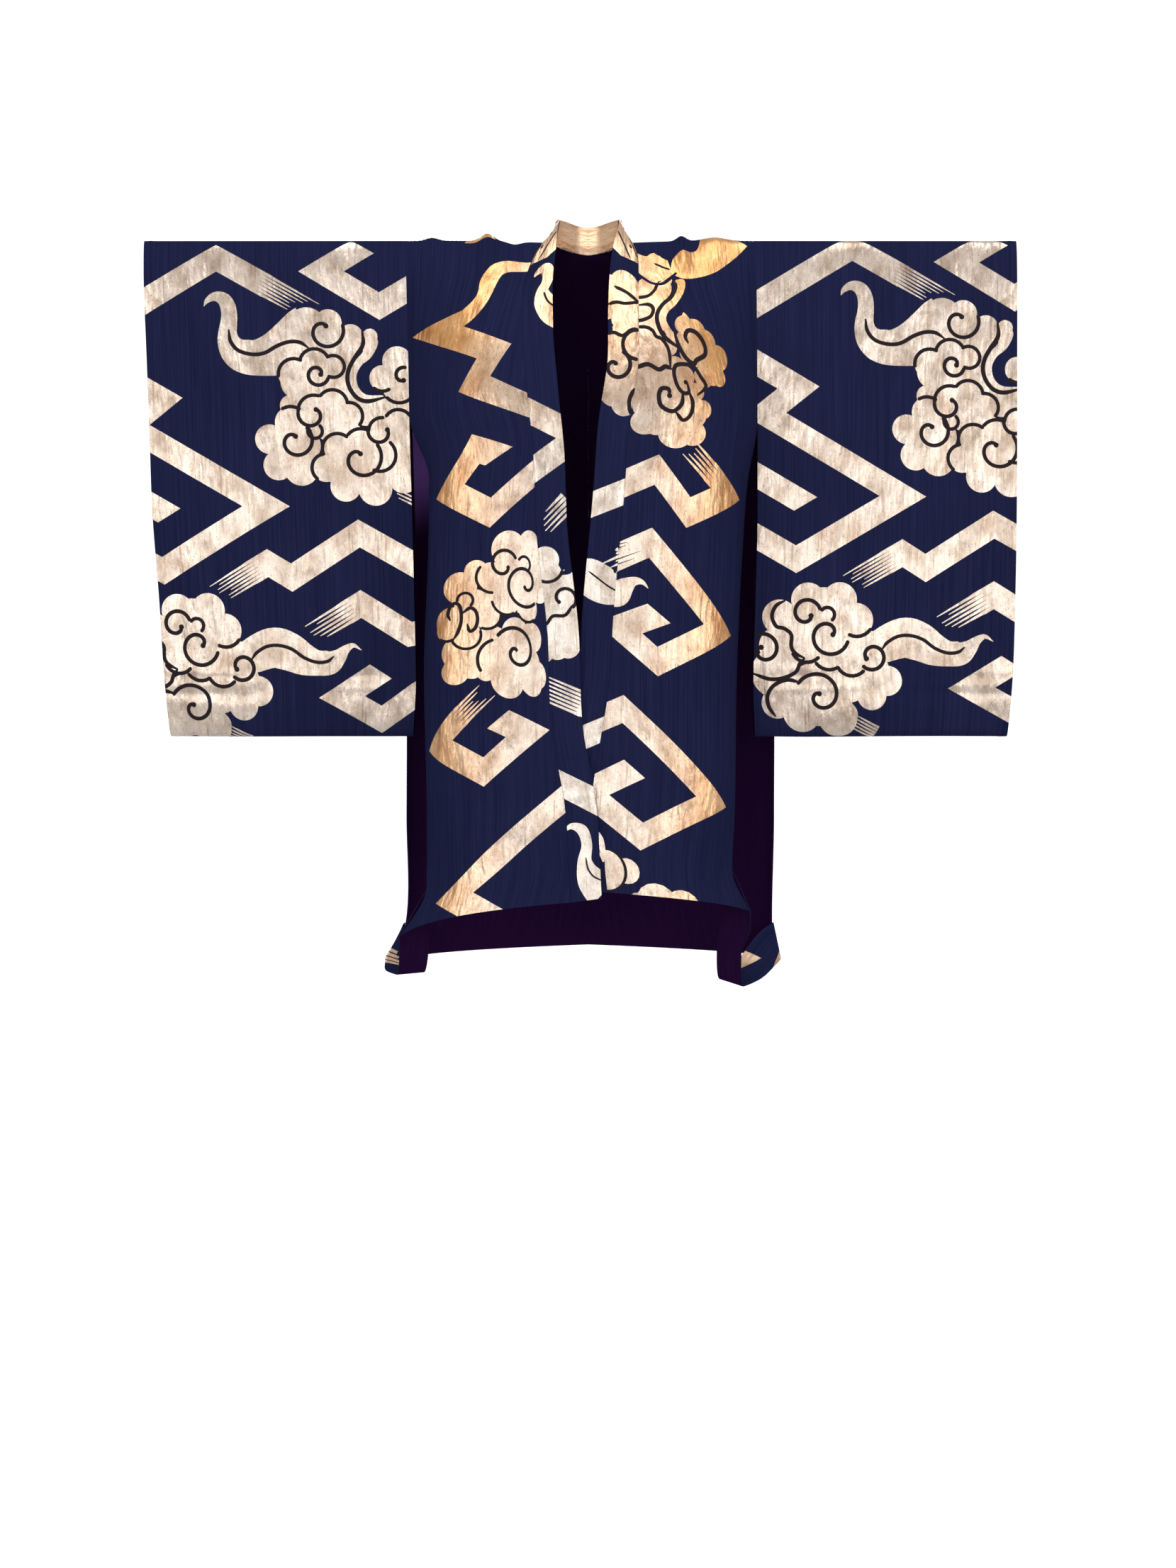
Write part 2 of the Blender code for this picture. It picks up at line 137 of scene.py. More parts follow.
# Sleeve: distance down from the top fold, x at the body, x at the cuff, how far it sways in and out.
SLEEVE = {
    "left": (
        (0.0, -0.2545, -0.6345, 0.0), (0.06, -0.253, -0.6334, 0.0005), (0.16, -0.25, -0.629, 0.0022),
        (0.26, -0.248, -0.625, 0.004), (0.4, -0.244, -0.62, 0.0062), (0.52, -0.241, -0.611, 0.008),
        (0.64, -0.239, -0.604, 0.0094), (SLEEVE_DROP, -0.244, -0.597, 0.01),
    ),
    "right": (
        (0.0, 0.2534, 0.6314, 0.0), (0.06, 0.2536, 0.6312, 0.0005), (0.16, 0.254, 0.6304, 0.002),
        (0.26, 0.2545, 0.63, 0.0035), (0.4, 0.2545, 0.6293, 0.005), (0.52, 0.2515, 0.6275, 0.0065),
        (0.64, 0.249, 0.624, 0.0075), (SLEEVE_DROP, 0.252, 0.618, 0.008),
    ),
}
SWAY_TURNS = {"left": 1.15, "right": -1.0}
RING_BLUNTNESS = 0.24

# Which way the neckband's free edge stands from its seam: distance along the seam, x, y, z.
BAND_LEAN = {
    "left": (
        (-FRONT_LENGTH, 1.0, -0.05, 0.14), (-0.6, 1.0, -0.02, 0.12), (-0.26, 1.0, 0.04, 0.08),
        (-0.116, 0.98, 0.16, 0.14), (-0.058, 0.85, 0.1, 0.46), (0.0, 0.42, 0.44, 0.76),
        (0.03, 0.15, 0.35, 0.9), (BACK_NECK, 0.0, 0.3, 0.95),
    ),
    "right": (
        (-FRONT_LENGTH, -1.0, -0.02, 0.08), (-0.6, -1.0, 0.0, 0.1), (-0.26, -1.0, 0.04, 0.08),
        (-0.116, -0.98, 0.16, 0.14), (-0.058, -0.85, 0.1, 0.46), (0.0, -0.36, 0.44, 0.76),
        (0.03, -0.15, 0.35, 0.9), (BACK_NECK, 0.0, 0.3, 0.95),
    ),
}

# Hem strip: a lined strap slung like a hammock between the lowest stretches of the two side edges.
# Each row between those gives its inner long edge (x, y, z), then its outer long edge (x, y, z).
STRIP = {
    "left": (
        (-0.219, -0.037, -0.995, -0.26, -0.053, -1.018), (-0.222, -0.023, -1.042, -0.262, -0.036, -1.042),
        (-0.23, 0.006, -1.064, -0.268, -0.008, -1.066), (-0.246, 0.042, -1.05, -0.288, 0.033, -1.062),
        (-0.262, 0.075, -1.01, -0.288, 0.066, -1.05),
    ),
    "right": (
        (0.205, -0.037, -0.975, 0.243, -0.05, -0.996), (0.196, -0.022, -1.03, 0.23, -0.04, -1.033),
        (0.202, 0.006, -1.074, 0.235, -0.01, -1.083), (0.23, 0.04, -1.05, 0.265, 0.03, -1.075),
        (0.26, 0.07, -1.015, 0.288, 0.065, -1.058),
    ),
}
STRIP_WIDTH = 0.068
FACING = {"left": 1.0, "right": -1.0}

# How finely the forms are read: points or rows
CURVE_POINTS = 41
BODY_COLUMNS = 48
SLEEVE_ROWS = 150
STRIP_ROWS = 60
STRIP_COLUMNS = 12
BAND_COLUMNS = 12
ROW_STEP_MM = 5.0
BAND_STEP_MM = 4.0
# The shoulder stretch to each side of the top, where rows are closer together the nearer they are to it
SHOULDER_MM = 50.0
SHOULDER_ROWS = 12
SHOULDER_POWER = 1.8
SLEEVE_POWER = 1.15
FOLD_FADE_POWER = 0.8


def row_at(table, where):
    """A smooth curve through the table's rows, read at one value of its first column."""
    rows = np.array(table)
    stations = rows[:, 0]
    values = rows[:, 1:]
    slopes = np.gradient(values, stations, axis=0)
    chords = np.diff(values, axis=0)
    slopes[1:-1][chords[1:] * chords[:-1] <= 0] = 0.0
    last = len(stations) - 2
    k = int(np.clip(np.searchsorted(stations, where) - 1, 0, last))
    span = stations[k + 1] - stations[k]
    t = (where - stations[k]) / span
    start = (1 + 2 * t) * (1 - t) ** 2 * values[k] + t * (1 - t) ** 2 * span * slopes[k]
    end = t * t * (3 - 2 * t) * values[k + 1] + t * t * (t - 1) * span * slopes[k + 1]
    return start + end


def half_depth(drop, fullness):
    """Half the front-to-back depth of a flattened sleeve at a distance down from its top fold."""
    share = min(max(drop / SLEEVE_DROP, 0.0), 1.0)
    return fullness * max(math.sin(math.pi * share), 0.0) ** RING_BLUNTNESS


def armhole(side, along):
    """The seam between body and sleeve, front negative, back positive."""
    drop = abs(along)
    x = row_at(SLEEVE[side], drop)[0]
    y = math.copysign(half_depth(drop, SLEEVE_FULLNESS), along)
    return np.array((x, y, -drop))


def side_edge(side, along):
    """The outer edge of a body length: the armhole seam, then the free edge below it."""
    if abs(along) <= ARMHOLE_LENGTH:
        return armhole(side, along)
    seam = [(v, *armhole(side, v)) for v in (-ARMHOLE_LENGTH, -0.2, 0.0, 0.2, ARMHOLE_LENGTH)]
    front = [row for row in SIDE_EDGE[side] if row[0] < 0]
    back = [row for row in SIDE_EDGE[side] if row[0] > 0]
    return row_at(front + seam + back, along)


def inner_edge(side, along):
    """The inner edge of a body length: the neckband seam, then the centre back seam."""
    if along <= BACK_NECK:
        return row_at(NECK_SEAM[side], along)
    y, z = row_at(CENTRE_BACK, along)
    return np.array((CENTRE_BACK_X, y, z))


def run_of(points):
    """How far along a line of points each one lies."""
    steps = np.linalg.norm(np.diff(points, axis=0), axis=1)
    return np.concatenate(((0.0,), np.cumsum(steps)))


def body_row(side, along):
    """Points across a body length, from its side edge to the neckband or the centre back seam."""
    edge = side_edge(side, along)
    turn = row_at(TURN[side], along)
    inner = inner_edge(side, along)
    fine = np.linspace(0.0, 1.0, CURVE_POINTS)[:, None]
    curve = (1 - fine) ** 2 * edge + 2 * fine * (1 - fine) * turn + fine**2 * inner
    length = run_of(curve)
    even = np.linspace(0.0, length[-1], BODY_COLUMNS + 1)
    return np.column_stack([np.interp(even, length, curve[:, axis]) for axis in range(3)])


def strip_sheet(side):
    """The slung strap between the hem corners, seated just inside each side edge."""
    seat = np.array((0.0, STRIP_SEAT, 0.0))
    front = np.concatenate([side_edge(side, v) + seat for v in (STRIP_WIDTH - FRONT_LENGTH, -FRONT_LENGTH)])
    back = np.concatenate([side_edge(side, v) - seat for v in (BACK_LENGTH - STRIP_WIDTH, BACK_LENGTH)])
    table = [(k, *row) for k, row in enumerate((front, *STRIP[side], back))]
    across = np.linspace(0.0, 1.0, STRIP_COLUMNS + 1)[:, None]
    rows = []
    for station in np.linspace(0.0, len(table) - 1, STRIP_ROWS + 1):
        values = row_at(table, station)
        rows.append(values[:3] * (1 - across) + values[3:] * across)
    return np.array(rows)


# How finely each flat panel is laid out, in millimetres
GRID = 6.0
LINING_GRID = 7.5
BAND_GRID = 4.0
STRIP_GRID = 5.0


class Surface:
    """A smooth sheet of cloth, read by how far across and along it a point lies, in millimetres."""

    def __init__(self, rows, alongs, turned):
        self.rows = rows
        self.alongs = np.array(alongs)
        steps = np.linalg.norm(np.diff(rows, axis=1), axis=2)
        self.widths = steps.sum(axis=1) * 1000
        facing = np.cross(np.gradient(rows, axis=1), np.gradient(rows, axis=0))
        facing /= np.linalg.norm(facing, axis=2)[:, :, None] + 1e-12
        self.normals = facing * turned

    def width(self, along):
        return np.interp(along, self.alongs, self.widths)

    def read(self, across, along):
        """The points and the normals there, between the four nearest of the sheet."""
        count, columns = self.rows.shape[:2]
        row = np.clip(np.interp(along, self.alongs, np.arange(count)), 0, count - 1.001)
        column = np.clip(across / self.width(along), 0, 0.99999) * (columns - 1)
        i = row.astype(int)
        j = column.astype(int)
        s = (row - i)[:, None]
        t = (column - j)[:, None]
        found = []
        for grid in (self.rows, self.normals):
            upper = grid[i, j] * (1 - t) + grid[i, j + 1] * t
            lower = grid[i + 1, j] * (1 - t) + grid[i + 1, j + 1] * t
            found.append(upper * (1 - s) + lower * s)
        found[1] /= np.linalg.norm(found[1], axis=1)[:, None] + 1e-12
        return found


def eased(low, high, step):
    """Values from low to high, closer together near zero, where the cloth turns over the shoulder."""
    plain = np.arange(low, high + step / 2, step)
    plain = plain[np.abs(plain) >= SHOULDER_MM]
    near = SHOULDER_MM * np.linspace(0.0, 1.0, SHOULDER_ROWS + 1)[:-1] ** SHOULDER_POWER
    return np.unique(np.round(np.concatenate((plain, near, -near, (low, high))), 3))


def body_surface(side):
    alongs = eased(-1000 * FRONT_LENGTH, 1000 * BACK_LENGTH, ROW_STEP_MM)
    rows = np.array([body_row(side, v / 1000) for v in alongs])
    return Surface(rows, alongs, FACING[side])


def sleeve_surface(side):
    """The sleeve from its bottom fold, up the front, over the top fold and down the back."""
    share = np.linspace(0.0, 1.0, CURVE_POINTS)
    turn = 0.5 - 0.5 * np.cos(np.linspace(0.0, math.pi, SLEEVE_ROWS))
    drops = SLEEVE_DROP * turn**SLEEVE_POWER
    rows = []
    for way, stretch in ((-1, drops[::-1]), (1, drops[1:])):
        for drop in stretch:
            at_body, at_cuff, sway = row_at(SLEEVE[side], drop)
            x = at_body + (at_cuff - at_body) * share
            fullness = SLEEVE_FULLNESS + (CUFF_FULLNESS - SLEEVE_FULLNESS) * share
            swing = sway * np.sin(2 * math.pi * SWAY_TURNS[side] * share)
            depth = way * half_depth(drop, 1.0) * fullness
            rows.append(np.column_stack((x, depth + swing, np.full_like(x, -drop))))
    rows = np.array(rows)
    alongs = run_of(rows[:, CURVE_POINTS // 2]) * 1000
    alongs -= alongs[SLEEVE_ROWS - 1]
    form = Surface(rows, alongs, -FACING[side])
    form.widths[:] = 1000 * LOOM_WIDTH
    # How much further along the cloth a point lies than its drop, because the top fold is blunt
    form.roll = np.interp(SLEEVE_DROP / 2, drops, alongs[SLEEVE_ROWS - 1:]) - 1000 * SLEEVE_DROP / 2
    return form


def band_surface(side):
    """The neckband from the front hem to the centre back, read from its seam to its free edge."""
    alongs = np.arange(-1000 * FRONT_LENGTH, 1000 * BACK_NECK + 1, BAND_STEP_MM)
    rows = []
    for along in alongs / 1000:
        seam = row_at(NECK_SEAM[side], along)
        lean = row_at(BAND_LEAN[side], along)
        reach = np.linspace(BAND_SEAM_GAP, BAND_WIDTH, BAND_COLUMNS + 1)[:, None]
        rows.append(seam + reach * lean / np.linalg.norm(lean))
    rows[-1][:, 0] -= FACING[side] * BAND_END_GAP / 2
    return Surface(np.array(rows), alongs, FACING[side])


def strip_surface(side):
    rows = strip_sheet(side)
    return Surface(rows, run_of(rows[:, STRIP_COLUMNS // 2]) * 1000, FACING[side])


def fold_lift(folds, across, along):
    """How far soft troughs and ridges stand off the form: rows of x0, y0, x1, y1, half width, height."""
    lift = np.zeros(len(across))
    for x0, y0, x1, y1, half, height in folds:
        length = math.hypot(x1 - x0, y1 - y0)
        dx = (x1 - x0) / length
        dy = (y1 - y0) / length
        run = ((across - x0) * dx + (along - y0) * dy) / length
        aside = (across - x0) * dy - (along - y0) * dx
        fade = np.clip(1 - (2 * run - 1) ** 2, 0, 1) ** FOLD_FADE_POWER
        lift += height * fade * np.exp(-((aside / half) ** 2))
    return lift / 1000


# The woven pattern. Every shape is (kind, outline), later shapes lying over earlier ones.
NAVY = 0
GOLD = 1
LINE = 2
# Half a zigzag band's width in millimetres, and a dark line's width in a cloud's own units
BAND_HALF = 17.3
LINE_WIDTH = 25.0
# How finely round strokes are cut: a disc's sides for each unit of radius, an arc's degrees times radius in
# one step, a curl's degrees in one step
DISC_SIDES = 0.36
LEAST_DISC_SIDES = 16
ARC_STEP = 1400
CURL_STEP = 9


def patch(*corners, kind=GOLD):
    return [(kind, np.array(corners, float))]


def around(x, y, r, turn):
    """Points round x, y at distances r."""
    return x + r * np.cos(turn), y + r * np.sin(turn)


def disc(x, y, r, kind=GOLD):
    turn = np.linspace(0, 2 * math.pi, max(LEAST_DISC_SIDES, int(r * DISC_SIDES)), endpoint=False)
    return patch(*np.column_stack(around(x, y, r, turn)), kind=kind)


def discs(*rows):
    return [shape for row in rows for shape in disc(*row)]


def smooth(points, steps=6):
    """A smooth curve through the rows, whatever they hold."""
    p = np.array(points, float)
    p = np.vstack((2 * p[0] - p[1], p, 2 * p[-1] - p[-2]))
    t = np.linspace(0, 1, steps, endpoint=False)[:, None]
    parts = []
    for a, b, c, d in zip(p, p[1:], p[2:], p[3:]):
        bend = 2 * b + (c - a) * t + (2 * a - 5 * b + 4 * c - d) * t**2
        parts.append((bend + (3 * b - a - 3 * c + d) * t**3) / 2)
    return np.vstack((*parts, p[-2:-1]))


def ribbon(points, kind=GOLD):
    """A stroke through rows of x, y, width."""
    p = np.array(points, float)
    ahead = np.gradient(p[:, :2], axis=0)
    ahead /= np.linalg.norm(ahead, axis=1)[:, None] + 1e-9
    aside = np.column_stack((-ahead[:, 1], ahead[:, 0])) * p[:, 2:] / 2
    return [(kind, np.vstack((p[:, :2] + aside, (p[:, :2] - aside)[::-1])))]


def swept(points, kind=GOLD):
    return ribbon(smooth(points), kind)


def stroke(x, y, swell):
    """A dark line with round ends."""
    ends = [shape for k in (0, -1) for shape in disc(x[k], y[k], swell[k] / 2, kind=LINE)]
    return ribbon(np.column_stack((x, y, swell)), LINE) + ends


def line(*points, width=LINE_WIDTH, tip=0.45):
    """A smooth dark line that narrows a little to both its ends."""
    p = smooth(points)
    run = np.linspace(0, 1, len(p))
    share = tip + (1 - tip) * np.clip(np.sin(math.pi * run) * 3, 0, 1)
    return stroke(*p.T, width * share)


def arc(x, y, r, start, end, width=LINE_WIDTH):
    """A dark arc, its angles in degrees from rightward, growing downward."""
    count = max(6, int(abs(end - start) * (r + 30) / ARC_STEP))
    turn = np.radians(np.linspace(start, end, count))
    return stroke(*around(x, y, r, turn), np.full(count, width * 0.95))


def arcs(*rows):
    return [shape for row in rows for shape in arc(*row)]


def curl(x, y, r0, r1, start, sweep, power=2.0, width=LINE_WIDTH, dot=17):
    """A dark line that coils in towards x, y and ends in a dot."""
    count = max(16, int(abs(sweep) / CURL_STEP))
    run = np.linspace(0, 1, count)
    r = r0 + (r1 - r0) * run**power
    turn = np.radians(start + sweep * run)
    xs, ys = around(x, y, r, turn)
    return stroke(xs, ys, np.full(count, width)) + disc(xs[-1], ys[-1], dot, kind=LINE)


def fray(at, ahead, lengths, half=BAND_HALF):
    """Stripes that carry a band on from its end, each as wide as its share there and thinning to a point."""
    ahead = np.array(ahead)
    across = np.array((-ahead[1], ahead[0]))
    pitch = 2 * half / len(lengths)
    shapes = []
    for k, length in enumerate(lengths):
        middle = at + across * (pitch * (k + 0.5) - half)
        stops = ((-3, 1.0), (0.12 * length, 0.72), (0.5 * length, 0.54), (length, 0.18))
        shapes += ribbon([(*(middle + ahead * run), pitch * share) for run, share in stops])
        if k:
            slit = at + across * (pitch * k - half)
            back = slit - ahead * (5 + 0.16 * lengths[k - 1])
            shapes += ribbon(((*back, 0.2), (*slit, pitch * 0.16), (*(slit + ahead * 4), pitch * 0.2)), NAVY)
    return shapes


# How far the stripes of a frayed end run on
UPPER_FRAY = (78, 62, 57, 47, 40, 44, 42)
LOWER_FRAY = (47, 47, 40, 58, 57, 51, 65)
SHORT_FRAY = (43, 51, 59, 61, 46, 63)
SEAM_FRAY = (34, 39, 35)
FOLD_FRAY = (40, 46, 41, 47, 39)
SEAM_TIPS = (2, 3, 34, 8, 20, 3, 14)
SIDE_FRAY = (44, 36, 24, 30, 40, 52)
CHEST_FRAY = (46, 36, 33, 38, 44)
THROUGH_FRAY = (78, 90, 70, 84, 74, 88, 80)


def band(*points, start="run", end="run", half=BAND_HALF):
    """A zigzag band along its centre line, mitred at its turns. An end runs on, is cut or is frayed."""
    p = np.array(points, float)
    ways = np.diff(p, axis=0)
    ways /= np.linalg.norm(ways, axis=1)[:, None]
    sides = np.column_stack((-ways[:, 1], ways[:, 0]))
    offsets = []
    for k in range(len(p)):
        if 0 < k < len(p) - 1:
            both = sides[k - 1] + sides[k]
            offsets.append(both * half / (1 + sides[k - 1] @ sides[k]))
            continue
        style, side, way = (start, sides[0], ways[0]) if k == 0 else (end, sides[-1], ways[-1])
        slope = np.array((way[0], -way[1])) if style == "cut" else side
        offsets.append(slope * half / (slope @ side))
    offsets = np.array(offsets)
    shapes = [(GOLD, np.vstack((p + offsets, (p - offsets)[::-1])))]
    if isinstance(start, tuple):
        shapes += fray(p[0], -ways[0], start, half)
    if isinstance(end, tuple):
        shapes += fray(p[-1], ways[-1], end, half)
    return shapes


def laid(shapes, lay):
    """The shapes moved from their own units to the cloth's millimetres."""
    return [(kind, np.column_stack(lay(*outline.T))) for kind, outline in shapes]


def moved(shapes, origin, at, unit):
    """The shapes with their origin laid at a place on the cloth, at that many millimetres a unit."""
    return laid(shapes, lambda x, y: (at[0] + (x - origin[0]) * unit, at[1] + (y - origin[1]) * unit))


def cloud_a():
    """The tall cloud whose tail curls up to the left."""
    shapes = swept((
        (93, 168, 2), (112, 134, 30), (150, 108, 52), (190, 106, 74), (228, 128, 92), (250, 172, 100),
        (256, 233, 104), (250, 290, 110), (242, 345, 124), (248, 400, 150), (275, 450, 188), (320, 486, 218),
        (375, 504, 228), (430, 510, 228), (500, 508, 234), (575, 505, 236),
    ))
    neck = smooth((
        (345, 400), (390, 396), (445, 378), (500, 342), (548, 300), (592, 258), (640, 212), (690, 178),
    ), 4)
    shapes += patch(*neck, (760, 300), (640, 560), (430, 560), (380, 480))
    shapes += discs(
        (760, 300, 125), (900, 275, 88), (1045, 365, 80), (930, 450, 150), (1000, 420, 115), (640, 480, 150),
        (780, 470, 150), (880, 470, 130), (960, 600, 70), (990, 700, 85), (870, 690, 100), (1060, 800, 80),
        (760, 740, 60), (640, 820, 70),
    )
    shapes += swept(((1170, 350, 40), (1170, 400, 105), (1150, 480, 66), (1090, 540, 50), (1050, 620, 50),
                     (1065, 710, 50), (1130, 765, 40), (1250, 760, 15)))
    shapes += disc(1170, 365, 50)
    # Cloudlets, from the top left downward
    shapes += discs(
        (668, 615, 103), (803, 545, 98), (925, 562, 72), (690, 665, 112), (690, 775, 55), (822, 615, 90),
        (793, 855, 105), (915, 812, 98), (1022, 885, 88), (900, 900, 150), (980, 960, 110), (640, 930, 105),
        (500, 1040, 97), (550, 1210, 97), (700, 1230, 112), (620, 1080, 130), (720, 1080, 110),
        (860, 1225, 92), (940, 1100, 100), (1095, 1080, 112), (985, 1345, 100), (1180, 1360, 112),
        (1370, 1290, 102), (1000, 1220, 150), (1200, 1230, 150), (1330, 1180, 140), (1340, 1060, 130),
        (1235, 985, 88), (1345, 940, 95), (1245, 640, 85), (1345, 530, 98), (1355, 690, 112),
        (1460, 1100, 150), (1130, 860, 90), (1220, 840, 80), (1300, 860, 90), (1450, 650, 120),
        (1480, 900, 150),
    )
    # Dark lines
    shapes += line((250, 325), (260, 400), (310, 460), (400, 485), (480, 475), (560, 430), (640, 402),
                   (710, 405), (765, 440), width=26)
    shapes += curl(880, 325, 118, 28, -15, 295)
    shapes += line((1120, 330), (1122, 420), (1070, 500), (1030, 570), (1015, 640), (1032, 710),
                   (1080, 770), (1150, 790), (1260, 765), width=29)
    shapes += arcs((668, 615, 103, 175, 295), (803, 545, 98, 195, 327), (925, 562, 72, 239, 474))
    shapes += curl(822, 615, 72, 20, 20, 340)
    shapes += arcs((793, 855, 105, 180, 286), (915, 812, 98, 217, 350), (1022, 885, 88, 262, 400))
    shapes += curl(775, 870, 88, 40, 180, -220)
    shapes += arc(795, 985, 48, 206, -45)
    shapes += arc(640, 930, 105, 240, 302)
    shapes += curl(665, 1045, 112, 25, -45, 320)
    shapes += arcs((860, 1225, 92, 130, 262), (940, 1100, 100, 165, 307), (1095, 1080, 112, 222, 295))
    shapes += curl(1090, 1155, 138, 22, -35, 300)
    shapes += arcs((1235, 985, 88, 185, 275), (1345, 940, 95, 215, 325), (1215, 1140, 108, -47, 112))
    shapes += curl(1222, 985, 80, 50, 190, -200)
    shapes += arcs((1245, 640, 85, 60, 130), (1355, 690, 112, 45, 135))
    shapes += curl(1385, 625, 55, 30, 280, -190)
    return moved(shapes, (700, 700), (221, 215), 0.2215)


def cloud_b():
    """The low cloud whose tail waves off to the right."""
    shapes = discs(
        (200, 190, 108), (400, 185, 108), (505, 310, 105), (300, 330, 220), (180, 450, 90), (20, 300, 110),
        (10, 480, 120), (-8, 842, 95), (190, 480, 100), (330, 520, 105), (475, 560, 102), (700, 690, 95),
        (600, 780, 95), (380, 920, 128), (430, 905, 80), (450, 700, 130), (250, 780, 200), (150, 900, 120),
        (600, 620, 110), (560, 480, 110), (0, 650, 160),
    )
    shapes += swept((
        (600, 520, 150), (650, 480, 210), (800, 420, 250), (900, 440, 245), (1000, 490, 205),
        (1090, 515, 160), (1170, 510, 150), (1225, 475, 100), (1270, 430, 55), (1320, 405, 28),
        (1372, 435, 2),
    ))
    shapes += line((665, 495), (700, 450), (770, 410), (850, 405), (930, 430), (1000, 480), (1080, 510),
                   (1150, 505), (1190, 475), width=22)
    shapes += arcs((505, 310, 105, 35, 115), (190, 480, 100, 45, 150), (330, 520, 105, 60, 140))
    shapes += arcs((475, 560, 102, 45, 150), (320, 280, 45, 220, 405))
    shapes += curl(603, 540, 82, 38, 130, -330)
    shapes += curl(190, 275, 88, 30, -22, -310)
    shapes += curl(335, 410, 120, 20, 20, 325, power=2.5)
    shapes += curl(270, 790, 157, 15, 211, 400, power=1.0, width=25)
    # The lines of its left side, which only the right sleeve shows
    shapes += line(
        (52, 197), (-3, 229), (-29, 293), (-3, 356), (48, 371), (92, 409), (92, 483), (118, 525), (174, 553),
    )
    shapes += line((-150, 655), (-47, 688), (41, 680), (119, 642), (145, 589), (174, 557))
    shapes += line((-20, 921), (-58, 863), (-62, 790), (-18, 726), (63, 692), (140, 705))
    shapes += curl(-85, 500, 95, 15, -110, 330)
    return moved(shapes, (400, 400), (74, 587), 0.2313)


def cloth_pattern():
    """One loom width of the brocade, 380 mm across, as the sleeves show it."""
    shapes = band((-70, 132), (105, 26), (178, 68), end=UPPER_FRAY)
    shapes += band((317, 9), (257, 46), (340, 97), (430, 44), start="cut")
    shapes += band((-72, 178), (20, 232), (-30, 271), (168, 387), (10, 480), (-72, 434))
    shapes += band((-75, 342), (25, 400), end="cut")
    shapes += band((142, 483), (166, 469), (200, 490), (301, 426), (420, 493), start=LOWER_FRAY)
    shapes += band((278, 541), (300, 528), (372, 572), (440, 560), start=SHORT_FRAY)
    shapes += band((327, 626), (268, 663), (330, 696), (382, 659), (430, 630), start="cut")
    shapes += fray((394.0, 385.0), (-0.90, -0.43), SEAM_FRAY, 7.5)
    shapes += fray((124.0, 730.0), (-0.88, -0.47), FOLD_FRAY, 12)
    return shapes + cloud_a() + cloud_b()


def lay_c(x, y):
    """Where the waist cloud's units lie on the viewer's left front, which turns away at its side."""
    return 43 + 0.266 * x - 7.8e-5 * x**2, 411 + 0.1735 * y + 0.0475 * x


def lay_c_band(x, y):
    return (x - 955 - 0.1 * (y - 550)) * 0.1725, 546 + 0.1745 * (y - 550) + 0.018 * (x - 960)


def lay_d(x, y):
    """Where the chest cloud's units lie on the viewer's right front, which leans back at the top."""
    rise = (800 - y) / 500
    across = 216 - 0.207 * (x - 300) - 31 * np.clip(rise, 0, 2) ** 2
    return across, 228 - 113 * rise - 10 * rise**2 - 0.033 * (x - 300)


def lay_d_band(x, y):
    seam = 305 - 50 * np.clip((y - 640) / 520, 0, 2) ** 2
    return (seam - x) * 0.205, 193 + 0.237 * (y - 640) - 1.8e-5 * (y - 640) ** 2


def cloud_c():
    """The round cloud at the waist of the viewer's left front."""
    shapes = discs(
        (680, 270, 160), (870, 190, 105), (530, 500, 122), (665, 665, 125), (875, 710, 112), (700, 480, 180),
        (850, 560, 130), (900, 350, 150), (1000, 500, 150), (410, 460, 95), (290, 590, 128), (230, 870, 125),
        (200, 930, 90), (345, 970, 115), (500, 795, 122), (400, 750, 150), (265, 1275, 105),
        (390, 1230, 100), (500, 1270, 75), (690, 1320, 150), (930, 1290, 130), (700, 1130, 200),
        (900, 1150, 130), (300, 1120, 140), (560, 1040, 150), (760, 930, 130), (930, 940, 120),
        (480, 1120, 110), (1010, 1230, 110), (560, 650, 110),
    )
    shapes += arcs((530, 500, 122, 85, 220), (665, 665, 125, 57, 165), (875, 710, 112, 50, 147))
    shapes += curl(635, 390, 120, 40, -34, -300, width=28)
    shapes += arc(825, 365, 63, 212, 410)
    shapes += curl(840, 530, 175, 18, 50, 400, width=28)
    shapes += arcs((200, 930, 90, 60, 125), (345, 970, 115, -15, 150), (500, 795, 122, 0, 105))
    shapes += line((222, 850), (203, 800), (222, 735), (262, 712), (295, 750), (305, 850), (285, 940),
                   (250, 1010), width=28)
    shapes += arc(330, 690, 60, 180, 400)
    shapes += line(
        (352, 885), (372, 940), (412, 915), (430, 850), (415, 780), (370, 752), (312, 795), width=28,
    )
    shapes += arc(610, 1170, 175, 150, 250, 28)
    shapes += curl(770, 1075, 205, 12, 214, 400, power=1.2, width=31, dot=16)
    return laid(shapes, lay_c)


def cloud_c_on_band():
    shapes = discs(
        (990, 350, 110), (1000, 470, 120), (950, 560, 120), (1060, 590, 130), (1150, 560, 130),
        (960, 720, 110), (1080, 720, 140), (1200, 640, 130), (1230, 520, 90), (1240, 760, 130),
        (1000, 950, 120), (1120, 900, 130), (1240, 900, 130), (1240, 1010, 80), (1090, 1060, 100),
        (1180, 1060, 90), (960, 1080, 110),
    )
    shapes += swept(((1235, 330, 20), (1180, 430, 60), (1120, 470, 10)), NAVY)
    shapes += arc(1000, 400, 130, 20, 120, 28)
    shapes += curl(1130, 670, 100, 45, 40, -250, width=28)
    shapes += line((945, 800), (985, 868), (1040, 806), (1140, 800), (1200, 720), width=28)
    return laid(shapes, lay_c_band)


